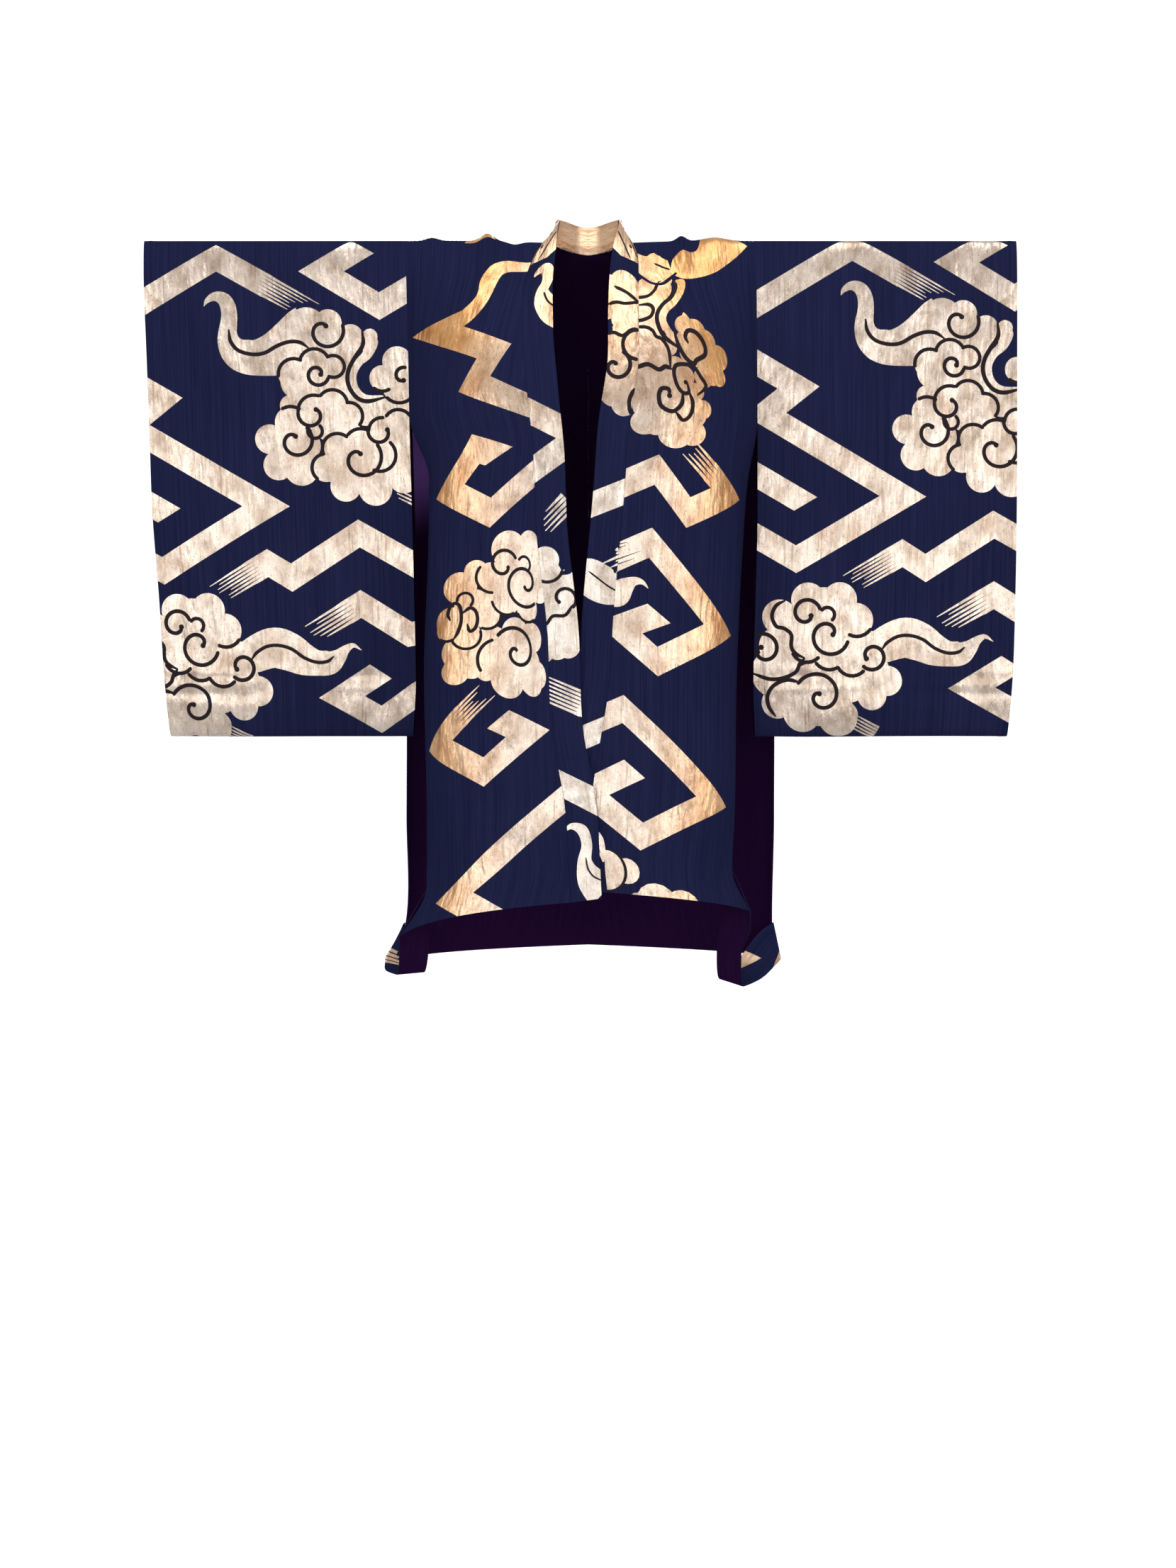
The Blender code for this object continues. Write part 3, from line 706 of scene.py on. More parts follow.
def cloud_d():
    """The chest cloud of the viewer's right front."""
    shapes = discs(
        (350, 270, 80), (470, 320, 78), (400, 420, 110), (440, 560, 80), (330, 640, 90), (420, 700, 110),
        (340, 480, 90), (480, 760, 60), (300, 540, 60), (530, 700, 70), (300, 780, 90), (440, 860, 110),
        (330, 920, 110), (560, 860, 90), (490, 250, 40),
    )
    shapes += swept(((552, 240, 24), (596, 262, 66), (612, 330, 56), (575, 400, 62), (524, 460, 52),
                     (506, 530, 50), (545, 610, 48), (600, 670, 50), (640, 730, 20)))
    shapes += discs((655, 560, 62), (720, 620, 100), (800, 680, 92), (900, 765, 82), (830, 850, 100))
    shapes += discs((760, 900, 70), (880, 890, 62), (700, 750, 90), (650, 650, 50))
    shapes += swept(((655, 478, 4), (662, 500, 40), (668, 535, 80), (675, 580, 110)))
    shapes += discs(
        (400, 960, 120), (350, 1100, 110), (340, 1230, 100), (480, 1000, 120), (560, 1300, 125),
        (680, 1300, 95), (480, 1150, 130), (640, 1150, 130), (735, 1120, 68), (600, 1000, 100),
        (620, 900, 70), (420, 1240, 90), (690, 1000, 60), (290, 1000, 90),
    )
    shapes += line((430, 255), (422, 310), (380, 350), (300, 357), width=27)
    shapes += line((545, 245), (570, 290), (560, 360), (500, 420), (465, 490), (475, 570), (520, 650),
                   (615, 720), width=31)
    shapes += line((320, 415), (400, 415), (435, 450), (420, 500), (360, 525), (310, 525), (270, 495),
                   (275, 460), (305, 455), width=27)
    shapes += line((290, 572), (380, 575), (430, 600), (455, 640), (500, 665), (535, 740), (525, 850))
    shapes += line((245, 840), (300, 840), (370, 825), (440, 860), (490, 840), (530, 855), width=31)
    shapes += line((680, 680), (665, 640), (690, 600), (750, 615), (800, 680), (800, 750), (730, 790),
                   (700, 815), (650, 780), (610, 700), (585, 600), width=31)
    shapes += line((700, 1020), (770, 960), (740, 900), (700, 840), (640, 822), (570, 830), (545, 880),
                   (555, 960), (590, 1010), (635, 1005), (630, 940), width=28)
    shapes += disc(620, 940, 15, kind=LINE)
    shapes += line((495, 1035), (490, 990), (440, 990), (420, 1040), (440, 1110), (520, 1145), (580, 1090),
                   (590, 1010), width=31)
    shapes += disc(495, 1035, 18, kind=LINE)
    shapes += line((545, 1150), (600, 1205), (650, 1160), (660, 1080), (640, 1010), width=28)
    return laid(shapes, lay_d)


def cloud_d_on_band():
    shapes = discs(
        (200, 270, 110), (180, 400, 110), (200, 500, 90), (200, 620, 100), (150, 700, 110), (200, 820, 110),
        (150, 900, 110), (200, 1000, 110), (130, 1020, 90), (200, 1090, 80), (290, 300, 90), (290, 450, 90),
        (290, 600, 90), (290, 750, 90), (270, 900, 90), (90, 300, 90), (70, 420, 90), (90, 660, 90),
        (60, 800, 110), (270, 1080, 80),
    )
    shapes += disc(80, 575, 42, kind=NAVY)
    shapes += line((130, 280), (220, 310), (310, 380)) + line((90, 400), (150, 385), (210, 390), (320, 372))
    shapes += arc(290, 680, 100, 95, 270, 28)
    shapes += curl(140, 830, 110, 14, -60, 330, power=1.4, width=28)
    shapes += line((275, 980), (245, 1060), (250, 1150), width=28)
    shapes += line((310, 575), (250, 580), (190, 620), (130, 600), (70, 610), width=26)
    return laid(shapes, lay_d_band)


def left_front():
    """The viewer's left front, in millimetres from its side edge and down from the shoulder."""
    shapes = swept((
        (206, 42, 14), (192, 51, 15), (179, 54, 15), (166, 54, 17), (153, 53, 20), (142, 56, 23),
        (132, 65, 25), (127, 82, 25), (126, 102, 21), (121, 120, 22), (110, 136, 26), (96, 148, 24),
        (84, 160, 10),
    ))
    shapes += swept(((86, 7, 3), (98, 4, 12), (116, 3, 14), (130, 6, 3)))
    shapes += patch((12, 147), (76, 135), (99, 129), (122, 130), (98, 151), (88, 166), (80, 181))
    shapes += band((87, 165), (161, 201), (138, 245), (290, 330))
    shapes += band((330, 300), (155, 431), (86, 386), (129, 337), (161, 353), end="cut")
    shapes += band((119, 709), (73, 741), (151, 798), (216, 753), (174, 726), start=SIDE_FRAY, end="cut")
    shapes += band((330, 806), (104, 971), (200, 1028))
    return shapes + cloud_c()


def right_front():
    leaf = smooth(((13, 10), (24, 23), (40, 39), (60, 56), (84, 68), (112, 74), (129, 66)), 4)
    rise = smooth(((129, 66), (123, 42), (110, 29), (95, 27), (85, 20), (80, -3)), 4)
    shapes = patch(*leaf, *rise[1:], (50, -4), (27, 1))
    shapes += swept(((180, 30, 4), (172, 48, 38), (156, 57, 56), (140, 58, 44), (128, 56, 26)))
    shapes += line((150, 50), (139, 56), (129, 59), width=3.8)
    shapes += band((290, 449), (186, 381), (136, 430), (72, 387), (105, 364), end=CHEST_FRAY)
    shapes += band((300, 559), (190, 486), (77, 583), (175, 652), (231, 616), (174, 583), end="cut")
    for tip_y, root_x, root_y in ((500, 223, 493), (506, 225, 498), (522, 204, 501), (529, 213, 514)):
        shapes += ribbon(((240, tip_y, 1.8), (root_x, root_y, 0.5)), NAVY)
    shapes += band((300, 778), (225, 731), (85, 836), (189, 912), (272, 858), (207, 815), end="cut")
    shapes += swept((
        (262, 556, 60), (246, 566, 46), (234, 567, 36), (223, 555, 24), (214, 547, 14), (206, 544, 10),
        (198, 545, 6), (191, 551, 1),
    ))
    shapes += swept(((251, 914, 3), (247, 924, 9), (244, 936, 11), (241, 947, 8), (240, 956, 2)))
    # Two overlapping lobes beside the tail, the near one outlined
    shapes += disc(208, 966, 19)
    turn = np.linspace(90, 270, 15) * math.pi / 180
    for kind, wide, high in ((LINE, 31.5, 31), (GOLD, 27, 29)):
        shapes += [(kind, np.column_stack((238 + wide * np.cos(turn), 967 + high * np.sin(turn))))]
    shapes += discs((168, 1010, 30), (130, 1013, 27), (192, 1018, 22))
    gap = swept(((184, 60, 4), (171, 79, 5), (160, 89, 5), (146, 89, 5), (134, 79, 5), (120, 64, 3)), NAVY)
    return shapes + cloud_d() + gap


def collar(sign):
    """The top of the neckband, gold with thin dark lines."""
    shapes = patch((-5, -95), (60, -95), (60, 44), (30, 54), (-5, 50))
    shapes += line((3, 40), (14, 12), (26, -6), (44, -14), width=3.4)
    shapes += line((2, -10), (20, -30), (46, -34), width=3.2)
    shapes += line((14, 50), (28, 34), (42, 24), width=3.2)
    shapes += disc(28, 8 + 8 * sign, 3.2, kind=LINE) + disc(14, 30, 3.0, kind=LINE)
    return shapes


def left_band():
    """The viewer's left half of the neckband, across from its seam."""
    shapes = collar(1)
    shapes += swept((
        (15, 80, 1), (19, 74, 9), (27, 70, 15), (35, 76, 18), (37, 88, 17), (34, 98, 15), (30, 107, 17),
        (31, 119, 27), (36, 132, 36), (48, 146, 44), (66, 152, 44),
    ))
    shapes += line((32, 111), (34, 119), (38, 127), (46, 134), width=3.2)
    shapes += band((-20, 283), (67, 338), (-20, 393))
    shapes += fray((46.0, 432.0), (-0.74, 0.67), (46, 50, 46, 40, 30), 16)
    shapes += fray((47.0, 722.0), (-0.87, -0.49), THROUGH_FRAY, 18)
    shapes += band((44, 720), (80, 740)) + cloud_c_on_band()
    shapes += band((-20, 817), (80, 887))
    shapes += swept((
        (-3, 898, 3), (8, 893, 9), (22, 901, 15), (27, 922, 15), (23, 946, 21), (30, 970, 38), (48, 992, 52),
    ))
    shapes += line((25, 940), (27, 955), (34, 967), (46, 975), width=2.4)
    return shapes


def right_band():
    shapes = collar(-1) + cloud_d_on_band()
    shapes += band((-20, 412), (70, 458))
    shapes += fray((-3.0, 519.0), (0.86, 0.5), SEAM_TIPS, 17)
    shapes += swept(((56, 540, 36), (42, 546, 50), (24, 556, 54), (8, 562, 48), (-12, 560, 38)))
    shapes += line((40, 541), (26, 550), (10, 560), (-4, 566), width=2.6)
    shapes += band((-20, 755), (70, 808))
    return shapes


def on_front(shapes):
    """Shapes given down the front, moved to distances along the cloth, which are negative there."""
    return laid(shapes, lambda x, y: (x, -y))


def on_back(shapes, across, turned, down):
    """The loom width laid on a back, upright as seen from behind, and cut off at the shoulder line."""
    shapes = laid(shapes, lambda x, y: (across + turned * x, y + down))
    return [(kind, cut_below(outline, 2.0)) for kind, outline in shapes if outline[:, 1].max() > 4.0]


def cut_below(outline, low):
    """What is left of an outline on the far side of a line across the cloth."""
    kept = []
    for here, there in zip(outline, np.roll(outline, -1, axis=0)):
        if here[1] >= low:
            kept.append(here)
        if (here[1] >= low) != (there[1] >= low):
            share = (low - here[1]) / (there[1] - here[1])
            kept.append(here + share * (there - here))
    return np.array(kept)


def body_pattern(side):
    cloth = cloth_pattern()
    front = left_front() if side == "left" else right_front()
    shapes = []
    for down in ((-90, 670) if side == "left" else (220, 980, -540)):
        across, turned = (324, -1) if side == "left" else (-46, 1)
        shapes += on_back(cloth, across, turned, down)
    return shapes + on_front(front)


def sleeve_pattern(side, roll):
    """The loom width on both faces of a sleeve, turned round at its top fold."""
    if side == "left":

        def face(way):
            return lambda x, y: (380 - x, way * (y + roll))

    else:

        def face(way):
            # This one hangs a little askew
            return lambda x, y: (33 + x + 0.03 * y, way * (y - 17 + 0.013 * x + roll))

    cloth = cloth_pattern()
    return laid(cloth, face(-1)) + laid(cloth, face(1))


LEAST_AREA = 0.3
# Where the first point of every other row lies, and how far the rows stay off the far edge, in grid steps
ROW_STARTS = (1.2, 0.7)
ROW_CLEARANCE = 0.6
CUT_TOLERANCE = 1e-5
SHARP_ANGLE = math.radians(50)


def area_of(outline):
    x, y = outline.T
    return (x @ np.roll(y, -1) - y @ np.roll(x, -1)) / 2


def stepped(outline, step):
    """The outline with points added on its long edges, so that they follow the form they are hung on."""
    following = np.roll(outline, -1, axis=0)
    counts = np.ceil(np.linalg.norm(following - outline, axis=1) / step).astype(int)
    parts = []
    for first, second, count in zip(outline, following, counts):
        share = np.arange(max(count, 1))[:, None] / max(count, 1)
        parts.append(first + (second - first) * share)
    return np.vstack(parts)


def clipped(shapes, low, high, step):
    """The shapes that come near the panel's box, each one anticlockwise."""
    near = []
    for kind, outline in shapes:
        if (outline.max(axis=0) > low).all() and (outline.min(axis=0) < high).all():
            area = area_of(outline)
            if abs(area) > LEAST_AREA:
                near.append((kind, stepped(outline if area > 0 else outline[::-1], step)))
    return near


def cut_flat(surface, grid, shapes, extra_across=()):
    """The flat panel in triangles, with the kind of each. Its outline comes first, then the pattern."""
    low = surface.alongs[0]
    high = surface.alongs[-1]
    edge = np.linspace(low, high, int((high - low) / grid) + 1)
    over_shoulder = min(-low, high) > 2 * SHOULDER_MM
    near = eased(low, high, grid) if over_shoulder else edge
    wide = surface.width(near)
    ends = []
    for along in (low, high):
        count = int(surface.width(along) / grid)
        across = np.linspace(0, surface.width(along), count + 1)[1:-1]
        ends.append(np.column_stack((across, np.full_like(across, along))))
    outline = np.vstack((
        np.column_stack((np.zeros_like(near), near)),
        ends[1],
        np.column_stack((wide, near))[::-1],
        ends[0][::-1],
    ))
    inner = []
    for k, along in enumerate(near[1:-1]):
        width = surface.width(along)
        across = np.arange(grid * ROW_STARTS[k % 2], width - grid * ROW_CLEARANCE, grid)
        more = [a if a > 0 else width + a for a in extra_across]
        across = np.concatenate((across, more))
        inner.append(np.column_stack((across, np.full_like(across, along))))
    points = [outline[::-1], *inner]
    faces = [list(range(len(outline)))]
    count = len(outline) + sum(len(i) for i in inner)
    kinds = []
    for kind, shape in clipped(shapes, (-1, low - 1), (surface.widths.max() + 1, high + 1), grid):
        faces.append(list(range(count, count + len(shape))))
        points.append(shape)
        kinds.append(kind)
        count += len(shape)
    points = np.vstack(points)
    made = delaunay_2d_cdt([Vector(p) for p in points], [], faces, 0, CUT_TOLERANCE, True)
    flat = np.array([tuple(v) for v in made[0]])
    triangles = []
    found = []
    for triangle, owners in zip(made[2], made[5]):
        if 0 in owners:
            triangles.append(triangle)
            top = max(owners)
            found.append(kinds[top - 1] if top else NAVY)
    triangles = np.array(triangles)
    used, triangles = np.unique(triangles, return_inverse=True)
    return flat[used], triangles.reshape(-1, 3), np.array(found)


def shell(name, outer, inner, flat, triangles, kinds, materials, backing, wear_and_light):
    """A closed thin wall between two layers of points, with a rim round the panel's edges."""
    count = len(outer)
    a, b, c = (outer[triangles[:, k]] for k in range(3))
    facing = (np.cross(b - a, c - a) * (a - inner[triangles[:, 0]])).sum(axis=1)
    if np.median(facing) < 0:
        triangles = triangles[:, ::-1]
    edges = np.vstack((triangles[:, [0, 1]], triangles[:, [1, 2]], triangles[:, [2, 0]]))
    keys = np.sort(edges, axis=1)
    _, first, uses = np.unique(keys, axis=0, return_index=True, return_counts=True)
    rim = edges[first[uses == 1]]
    rims = np.column_stack((rim[:, 1], rim[:, 0], rim[:, 0] + count, rim[:, 1] + count))
    faces = triangles.tolist() + (triangles[:, ::-1] + count).tolist() + rims.tolist()
    mesh = bpy.data.meshes.new(name)
    mesh.from_pydata(np.vstack((outer, inner)).tolist(), [], faces)
    for material in materials:
        mesh.materials.append(material)
    behind = kinds if backing is None else np.full(len(triangles), backing)
    slots = np.concatenate((kinds, behind, np.zeros(len(rims), int)))
    mesh.polygons.foreach_set("material_index", slots.astype(np.int32))
    mesh.polygons.foreach_set("use_smooth", np.ones(len(faces), bool))
    mesh.set_sharp_from_angle(angle=SHARP_ANGLE)
    cloth = mesh.attributes.new("cloth", "FLOAT_VECTOR", "POINT")
    place = np.zeros((2 * count, 3))
    place[:, :2] = np.vstack((flat, flat)) / 1000
    # The third value: the foil's wear and painted reflection, and the lining's painted light.
    place[:, 2] = np.concatenate((wear_and_light, wear_and_light))
    cloth.data.foreach_set("vector", place.ravel())
    mesh.update()
    return added(name, mesh)


def added(name, data):
    """A new object in the scene."""
    thing = bpy.data.objects.new(name, data)
    bpy.context.scene.collection.objects.link(thing)
    return thing


def hang(name, side, surface, grid, materials, wall, shapes=(), backing=None, lift=0.0, depth=0.0, extra=(),
         wear_and_light=0.0):
    """One piece of cloth: cut flat, hung on its form at a depth below it, and given its thickness.

    wall, lift and wear_and_light are each one number, or a function of how far across and along a point lies.
    """
    flat, triangles, kinds = cut_flat(surface, grid, shapes, extra)
    across, along = flat.T
    lifts, thick, wear_and_light_values = (
        value(across, along) if callable(value) else np.full(len(flat), value)
        for value in (lift, wall, wear_and_light)
    )
    points, normals = surface.read(across, along)
    outer = points + normals * (lifts - depth)[:, None]
    inner = outer - normals * thick[:, None]
    piece = shell(f"{name}_{side}", outer, inner, flat, triangles, kinds, materials, backing, wear_and_light_values)
    node, slot = PIECES[name][:2]
    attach(piece, "root")
    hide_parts(f"{node}_{side}")


class Finish:
    """A procedural material, its texture laid along the cloth: x across it and y along it, in metres."""

    def __init__(self, name):
        self.material = bpy.data.materials.new(name)
        self.material.use_nodes = True
        self.tree = self.material.node_tree
        self.shader = self.tree.nodes["Principled BSDF"]
        cloth = self.tree.nodes.new("ShaderNodeAttribute")
        cloth.attribute_name = "cloth"
        self.cloth = cloth.outputs["Vector"]

    def node(self, kind, inputs=(), **settings):
        made = self.tree.nodes.new(kind)
        for key, value in settings.items():
            setattr(made, key, value)
        for key, value in dict(inputs).items():
            if isinstance(value, bpy.types.NodeSocket):
                self.tree.links.new(value, made.inputs[key])
            else:
                made.inputs[key].default_value = value
        return made

    def noise(self, across, along, detail=3.0, rough=0.55):
        """Noise stretched along the cloth: how many cells a metre across it and along it."""
        spread = self.node("ShaderNodeMapping", {"Vector": self.cloth, "Scale": (across, along, 1.0)})
        inputs = {"Vector": spread.outputs[0], "Scale": 1.0, "Detail": detail, "Roughness": rough}
        return self.node("ShaderNodeTexNoise", inputs).outputs["Fac"]

    def ramp(self, value, *stops):
        made = self.node("ShaderNodeValToRGB", {"Fac": value})
        while len(made.color_ramp.elements) < len(stops):
            made.color_ramp.elements.new(0.5)
        for element, (place, colour) in zip(made.color_ramp.elements, stops):
            element.position = place
            element.color = (*colour, 1.0) if hasattr(colour, "__len__") else (colour, colour, colour, 1.0)
        return made.outputs["Color"]

    def mix(self, share, first, second, blend="MIX"):
        inputs = {0: share, 6: first, 7: second}
        return self.node("ShaderNodeMix", inputs, data_type="RGBA", blend_type=blend).outputs[2]

    def times(self, first, second):
        return self.node("ShaderNodeMath", {0: first, 1: second}, operation="MULTIPLY").outputs[0]

    def between(self, value, low, high):
        return self.node("ShaderNodeMapRange", {"Value": value, "To Min": low, "To Max": high}).outputs[0]

    def wear_and_light(self):
        """The cloth's third value: the foil's wear and painted reflection, and the lining's painted light."""
        return self.node("ShaderNodeSeparateXYZ", {"Vector": self.cloth}).outputs["Z"]

    def bumps(self, *rows):
        """Bumps one over another: height, strength, and how deep in metres."""
        under = {}
        for height, strength, distance in rows:
            inputs = {"Height": height, "Strength": strength, "Distance": distance, **under}
            under = {"Normal": self.node("ShaderNodeBump", inputs).outputs[0]}
        return under["Normal"]

    def set(self, **values):
        for key, value in values.items():
            socket = self.shader.inputs[key.replace("_", " ")]
            if isinstance(value, bpy.types.NodeSocket):
                self.tree.links.new(value, socket)
            else:
                socket.default_value = value
        return self.material


def gold_foil():
    """Flat gold-foil wefts: crinkled and worn in fine streaks along the warp, palest where most worn. The
    pale-to-warm mix is also painted reflection: pale where the cloth faces the front lamps, warm where it
    turns away from them.
    """
    f = Finish("gold_foil_weft")
    fine = f.noise(1500.0, 90.0, 2.0)
    streak = f.noise(230.0, 12.0, 4.0, 0.6)
    patch = f.noise(34.0, 22.0, 4.0, 0.6)
    crinkle = f.noise(150.0, 55.0, 5.0, 0.65)
    grain = f.noise(900.0, 620.0, 2.0, 0.6)
    pale = f.ramp(patch, (0.34, PALE_FOIL[0]), (0.60, PALE_FOIL[1]))
    warm = f.ramp(patch, (0.34, WARM_FOIL[0]), (0.62, WARM_FOIL[1]))
    # Painted reflection and wear: the cloth's third value turns the foil from pale, where it is worn and
    # faces the front lamps, to warm, where it turns away from them.
    colour = f.mix(f.wear_and_light(), pale, warm)
    colour = f.mix(1.0, colour, f.ramp(grain, (0.30, 0.80), (0.62, 1.0)), "MULTIPLY")
    worn = f.ramp(streak, (0.31, 1.0), (0.43, 0.0))
    colour = f.mix(f.times(worn, 0.55), colour, (0.28, 0.17, 0.10, 1.0))
    speck = f.ramp(f.noise(520.0, 200.0, 2.0), (0.31, 1.0), (0.37, 0.0))
    colour = f.mix(f.times(speck, 0.55), colour, (0.16, 0.10, 0.08, 1.0))
    rough = f.between(crinkle, 0.18, 0.40)
    buckle = f.noise(30.0, 9.0, 3.0)
    normal = f.bumps((buckle, 0.9, 0.011), (crinkle, 0.8, 0.0014), (streak, 0.6, 0.0008), (fine, 0.3, 0.0001))
    return f.set(Base_Color=colour, Metallic=0.75, Roughness=rough, Normal=normal)


def navy_twill():
    f = Finish("navy_twill")
    streak = f.noise(420.0, 5.0, 3.0, 0.6)
    cloudy = f.noise(12.0, 5.0, 3.0)
    fine = f.noise(2200.0, 700.0, 2.0)
    colour = f.ramp(streak, (0.30, (0.0100, 0.0120, 0.0400)), (0.70, (0.0165, 0.0195, 0.0600)))
    shade = f.ramp(cloudy, (0.3, 0.84), (0.7, 1.0))
    colour = f.mix(1.0, colour, shade, "MULTIPLY")
    normal = f.bumps((cloudy, 0.4, 0.0030), (streak, 0.25, 0.0002), (fine, 0.35, 0.0001))
    rough = f.between(streak, 0.55, 0.70)
    return f.set(Base_Color=colour, Roughness=rough, Normal=normal, Specular_IOR_Level=0.0)


def plain_weft(name, colours, roughness, gloss, painted_light_colour=None):
    """A plain silk: the pattern's dark lines or the lining, which may carry a painted lit colour where the
    cloth's third value asks for it.
    """
    f = Finish(name)
    streak = f.noise(500.0, 12.0, 3.0, 0.6)
    cloudy = f.noise(16.0, 9.0, 3.0)
    fine = f.noise(2400.0, 1300.0, 2.0)
    colour = f.mix(streak, *colours)
    # Painted light: a lighter colour mixed in where the silk is lit.
    if painted_light_colour:
        colour = f.mix(f.wear_and_light(), colour, painted_light_colour)
    normal = f.bumps((cloudy, 0.4, 0.0025), (streak, 0.2, 0.0002), (fine, 0.3, 0.0001))
    rough = f.between(cloudy, roughness - 0.06, roughness + 0.06)
    return f.set(Base_Color=colour, Roughness=rough, Normal=normal, Specular_IOR_Level=gloss)


# Each colour's darker and lighter tone. The foil is pale where it is worn, and as painted reflection where it
# faces the front lamps; warm where it is unworn, and as painted reflection where it turns away from them
PALE_FOIL = ((0.52, 0.44, 0.36), (0.88, 0.81, 0.73))
WARM_FOIL = ((0.62, 0.27, 0.085), (0.92, 0.51, 0.215))
GOLD_FINISH = gold_foil()
NAVY_FINISH = navy_twill()
OUTLINE = ((0.010, 0.006, 0.008, 1.0), (0.022, 0.013, 0.016, 1.0))
# The purple silk is partly its own dark purple and partly painted shade: its tones are kept darker for the
# shade inside the jacket.
PURPLE_SILK_AND_PAINTED_SHADE = ((0.010, 0.002, 0.017, 1.0), (0.021, 0.0055, 0.035, 1.0))
LINE_FINISH = plain_weft("dark_outline_weft", OUTLINE, 0.62, 0.10)
PURPLE_FINISH = plain_weft("purple_lining_silk", PURPLE_SILK_AND_PAINTED_SHADE, 0.50, 0.0)
# The lining's lighter purple beside the left sleeve's slit is painted light.
LINING_FINISH = plain_weft("body_lining_silk_painted_light", PURPLE_SILK_AND_PAINTED_SHADE, 0.50, 0.0, painted_light_colour=(0.205, 0.095, 0.40, 1.0))
BROCADE = [NAVY_FINISH, GOLD_FINISH, LINE_FINISH, PURPLE_FINISH]
PURPLE = 3

# Soft folds, in millimetres across and along the cloth (front negative): from, to, half width, height
BODY_FOLDS = {
    "left": (
        (60, -120, 150, -60, 26, 3.0), (40, -230, 60, -560, 30, 2.5), (170, -300, 120, -620, 34, -2.5),
        (90, -520, 80, -900, 30, 2.0), (200, -700, 190, -990, 26, -2.0), (20, -900, 60, -1000, 16, 2.4),
        (120, -860, 250, -900, 18, 1.6), (60, 200, 90, 620, 34, 3.0), (180, 140, 150, 560, 36, -2.6),
        (230, 480, 260, 1010, 32, 2.8), (120, 640, 90, 1080, 34, -3.0), (30, 760, 40, 1080, 20, 2.0),
        (117, -58, 119, 60, 13, 11.0), (36, -46, 40, 70, 12, 4.5), (160, -50, 156, 60, 12, -4.0),
        (118, -330, 116, -700, 2.2, -0.7),
    ),
    "right": (
        (50, -110, 140, -50, 24, -2.4), (50, -260, 40, -600, 30, 2.2), (150, -280, 140, -640, 34, -2.2),
        (100, -600, 80, -960, 28, 2.2), (200, -680, 210, -980, 24, -1.8), (24, -880, 70, -990, 15, -2.2),
        (70, 220, 110, 640, 36, -2.8), (190, 160, 170, 600, 34, 3.0), (240, 520, 220, 1020, 32, -2.6),
        (110, 600, 130, 1080, 34, 3.0), (36, 740, 30, 1080, 20, -2.0), (107, -64, 109, 56, 9, 7.5),
        (66, -54, 52, 66, 22, 5.0), (147, -480, 146, -700, 2.2, -0.7),
    ),
}
SLEEVE_FOLDS = (
    (30, -500, 220, -520, 18, 1.2), (120, -690, 360, -680, 16, 1.6), (20, -730, 180, -725, 9, 1.2),
    (230, -120, 250, -660, 40, 2.2), (90, -60, 70, -500, 36, -2.0), (330, -200, 320, -720, 26, 1.4),
    (150, -300, 140, -700, 22, -1.2), (230, 120, 210, 660, 42, 2.4), (80, 80, 100, 560, 36, -2.4),
    (320, 160, 330, 700, 28, -1.6), (40, 690, 300, 700, 16, 1.4), (160, 260, 170, 720, 24, 1.3),
    (215, -652, 382, -660, 6, 1.8), (228, -674, 386, -668, 7, -1.8), (260, -640, 378, -636, 5, 1.2),
    (15, -664, 168, -657, 6, 1.6), (12, -642, 130, -646, 6, -1.4),
)
BAND_FOLDS = (
    (0, -590, 44, -585, 7, 0.8), (0, -800, 44, -806, 8, -0.8), (0, -848, 44, -852, 6, 1.0),
    (4, -868, 44, -862, 5, -1.0), (0, -884, 44, -880, 6, 1.1), (0, -330, 44, -338, 9, -0.7),
    (0, -950, 44, -944, 9, 0.8),
)


# How far from a seam the folds have grown to their full height, in millimetres
NECK_FADE = 30
SEAM_FADE = 26
SLEEVE_FADE = 40
# How high the turned-in edges stand, in metres
TURNED_IN = 0.0005
CUFF_TURNED_IN = 0.0004
# The neckband's free edge in millimetres, how far its rounding reaches in, and how much it thins each face
BAND_EDGE = 43
BAND_ROUNDING = 5
BAND_THINS = 0.0009


def gentle(value):
    value = np.clip(value, 0, 1)
    return value * value * (3 - 2 * value)


def ridge(across, at, half, height):
    """A thin ridge along the cloth, in millimetres but for its height."""
    return height * np.exp(-(((across - at) / half) ** 2))


def body_folds(side, surface):
    """The folds of a body length, which fade out towards its seams."""

    def lift(across, along):
        at_neck = gentle((surface.width(along) - across) / NECK_FADE)
        below = np.maximum(np.abs(along) - 1000 * ARMHOLE_LENGTH, 0)
        sewn = gentle((across + below * 0.5) / SEAM_FADE)
        return fold_lift(BODY_FOLDS[side], across, along) * at_neck * sewn

    return lift


def body_lift(folds):
    """The folds, and the faint ridges where the brocade is turned in at its side edge and hem."""

    def lift(across, along):
        hem = np.minimum(along + 1000 * FRONT_LENGTH, 1000 * BACK_LENGTH - along)
        turned = ridge(across, 12, 2.5, TURNED_IN) * gentle((np.abs(along) - 262) / 20)
        turned += ridge(hem, 14, 3, TURNED_IN)
        return folds(across, along) + turned

    return lift


def sleeve_lift(across, along):
    folds = fold_lift(SLEEVE_FOLDS, across, along) * gentle(across / SLEEVE_FADE)
    return folds + ridge(1000 * LOOM_WIDTH - across, 9, 3, CUFF_TURNED_IN)


def band_thinning(across):
    """How thin the neckband is: one at its two edges, nothing further in."""
    edge = np.minimum(across, BAND_EDGE - across)
    return 1 - gentle((edge + 0.5) / BAND_ROUNDING)


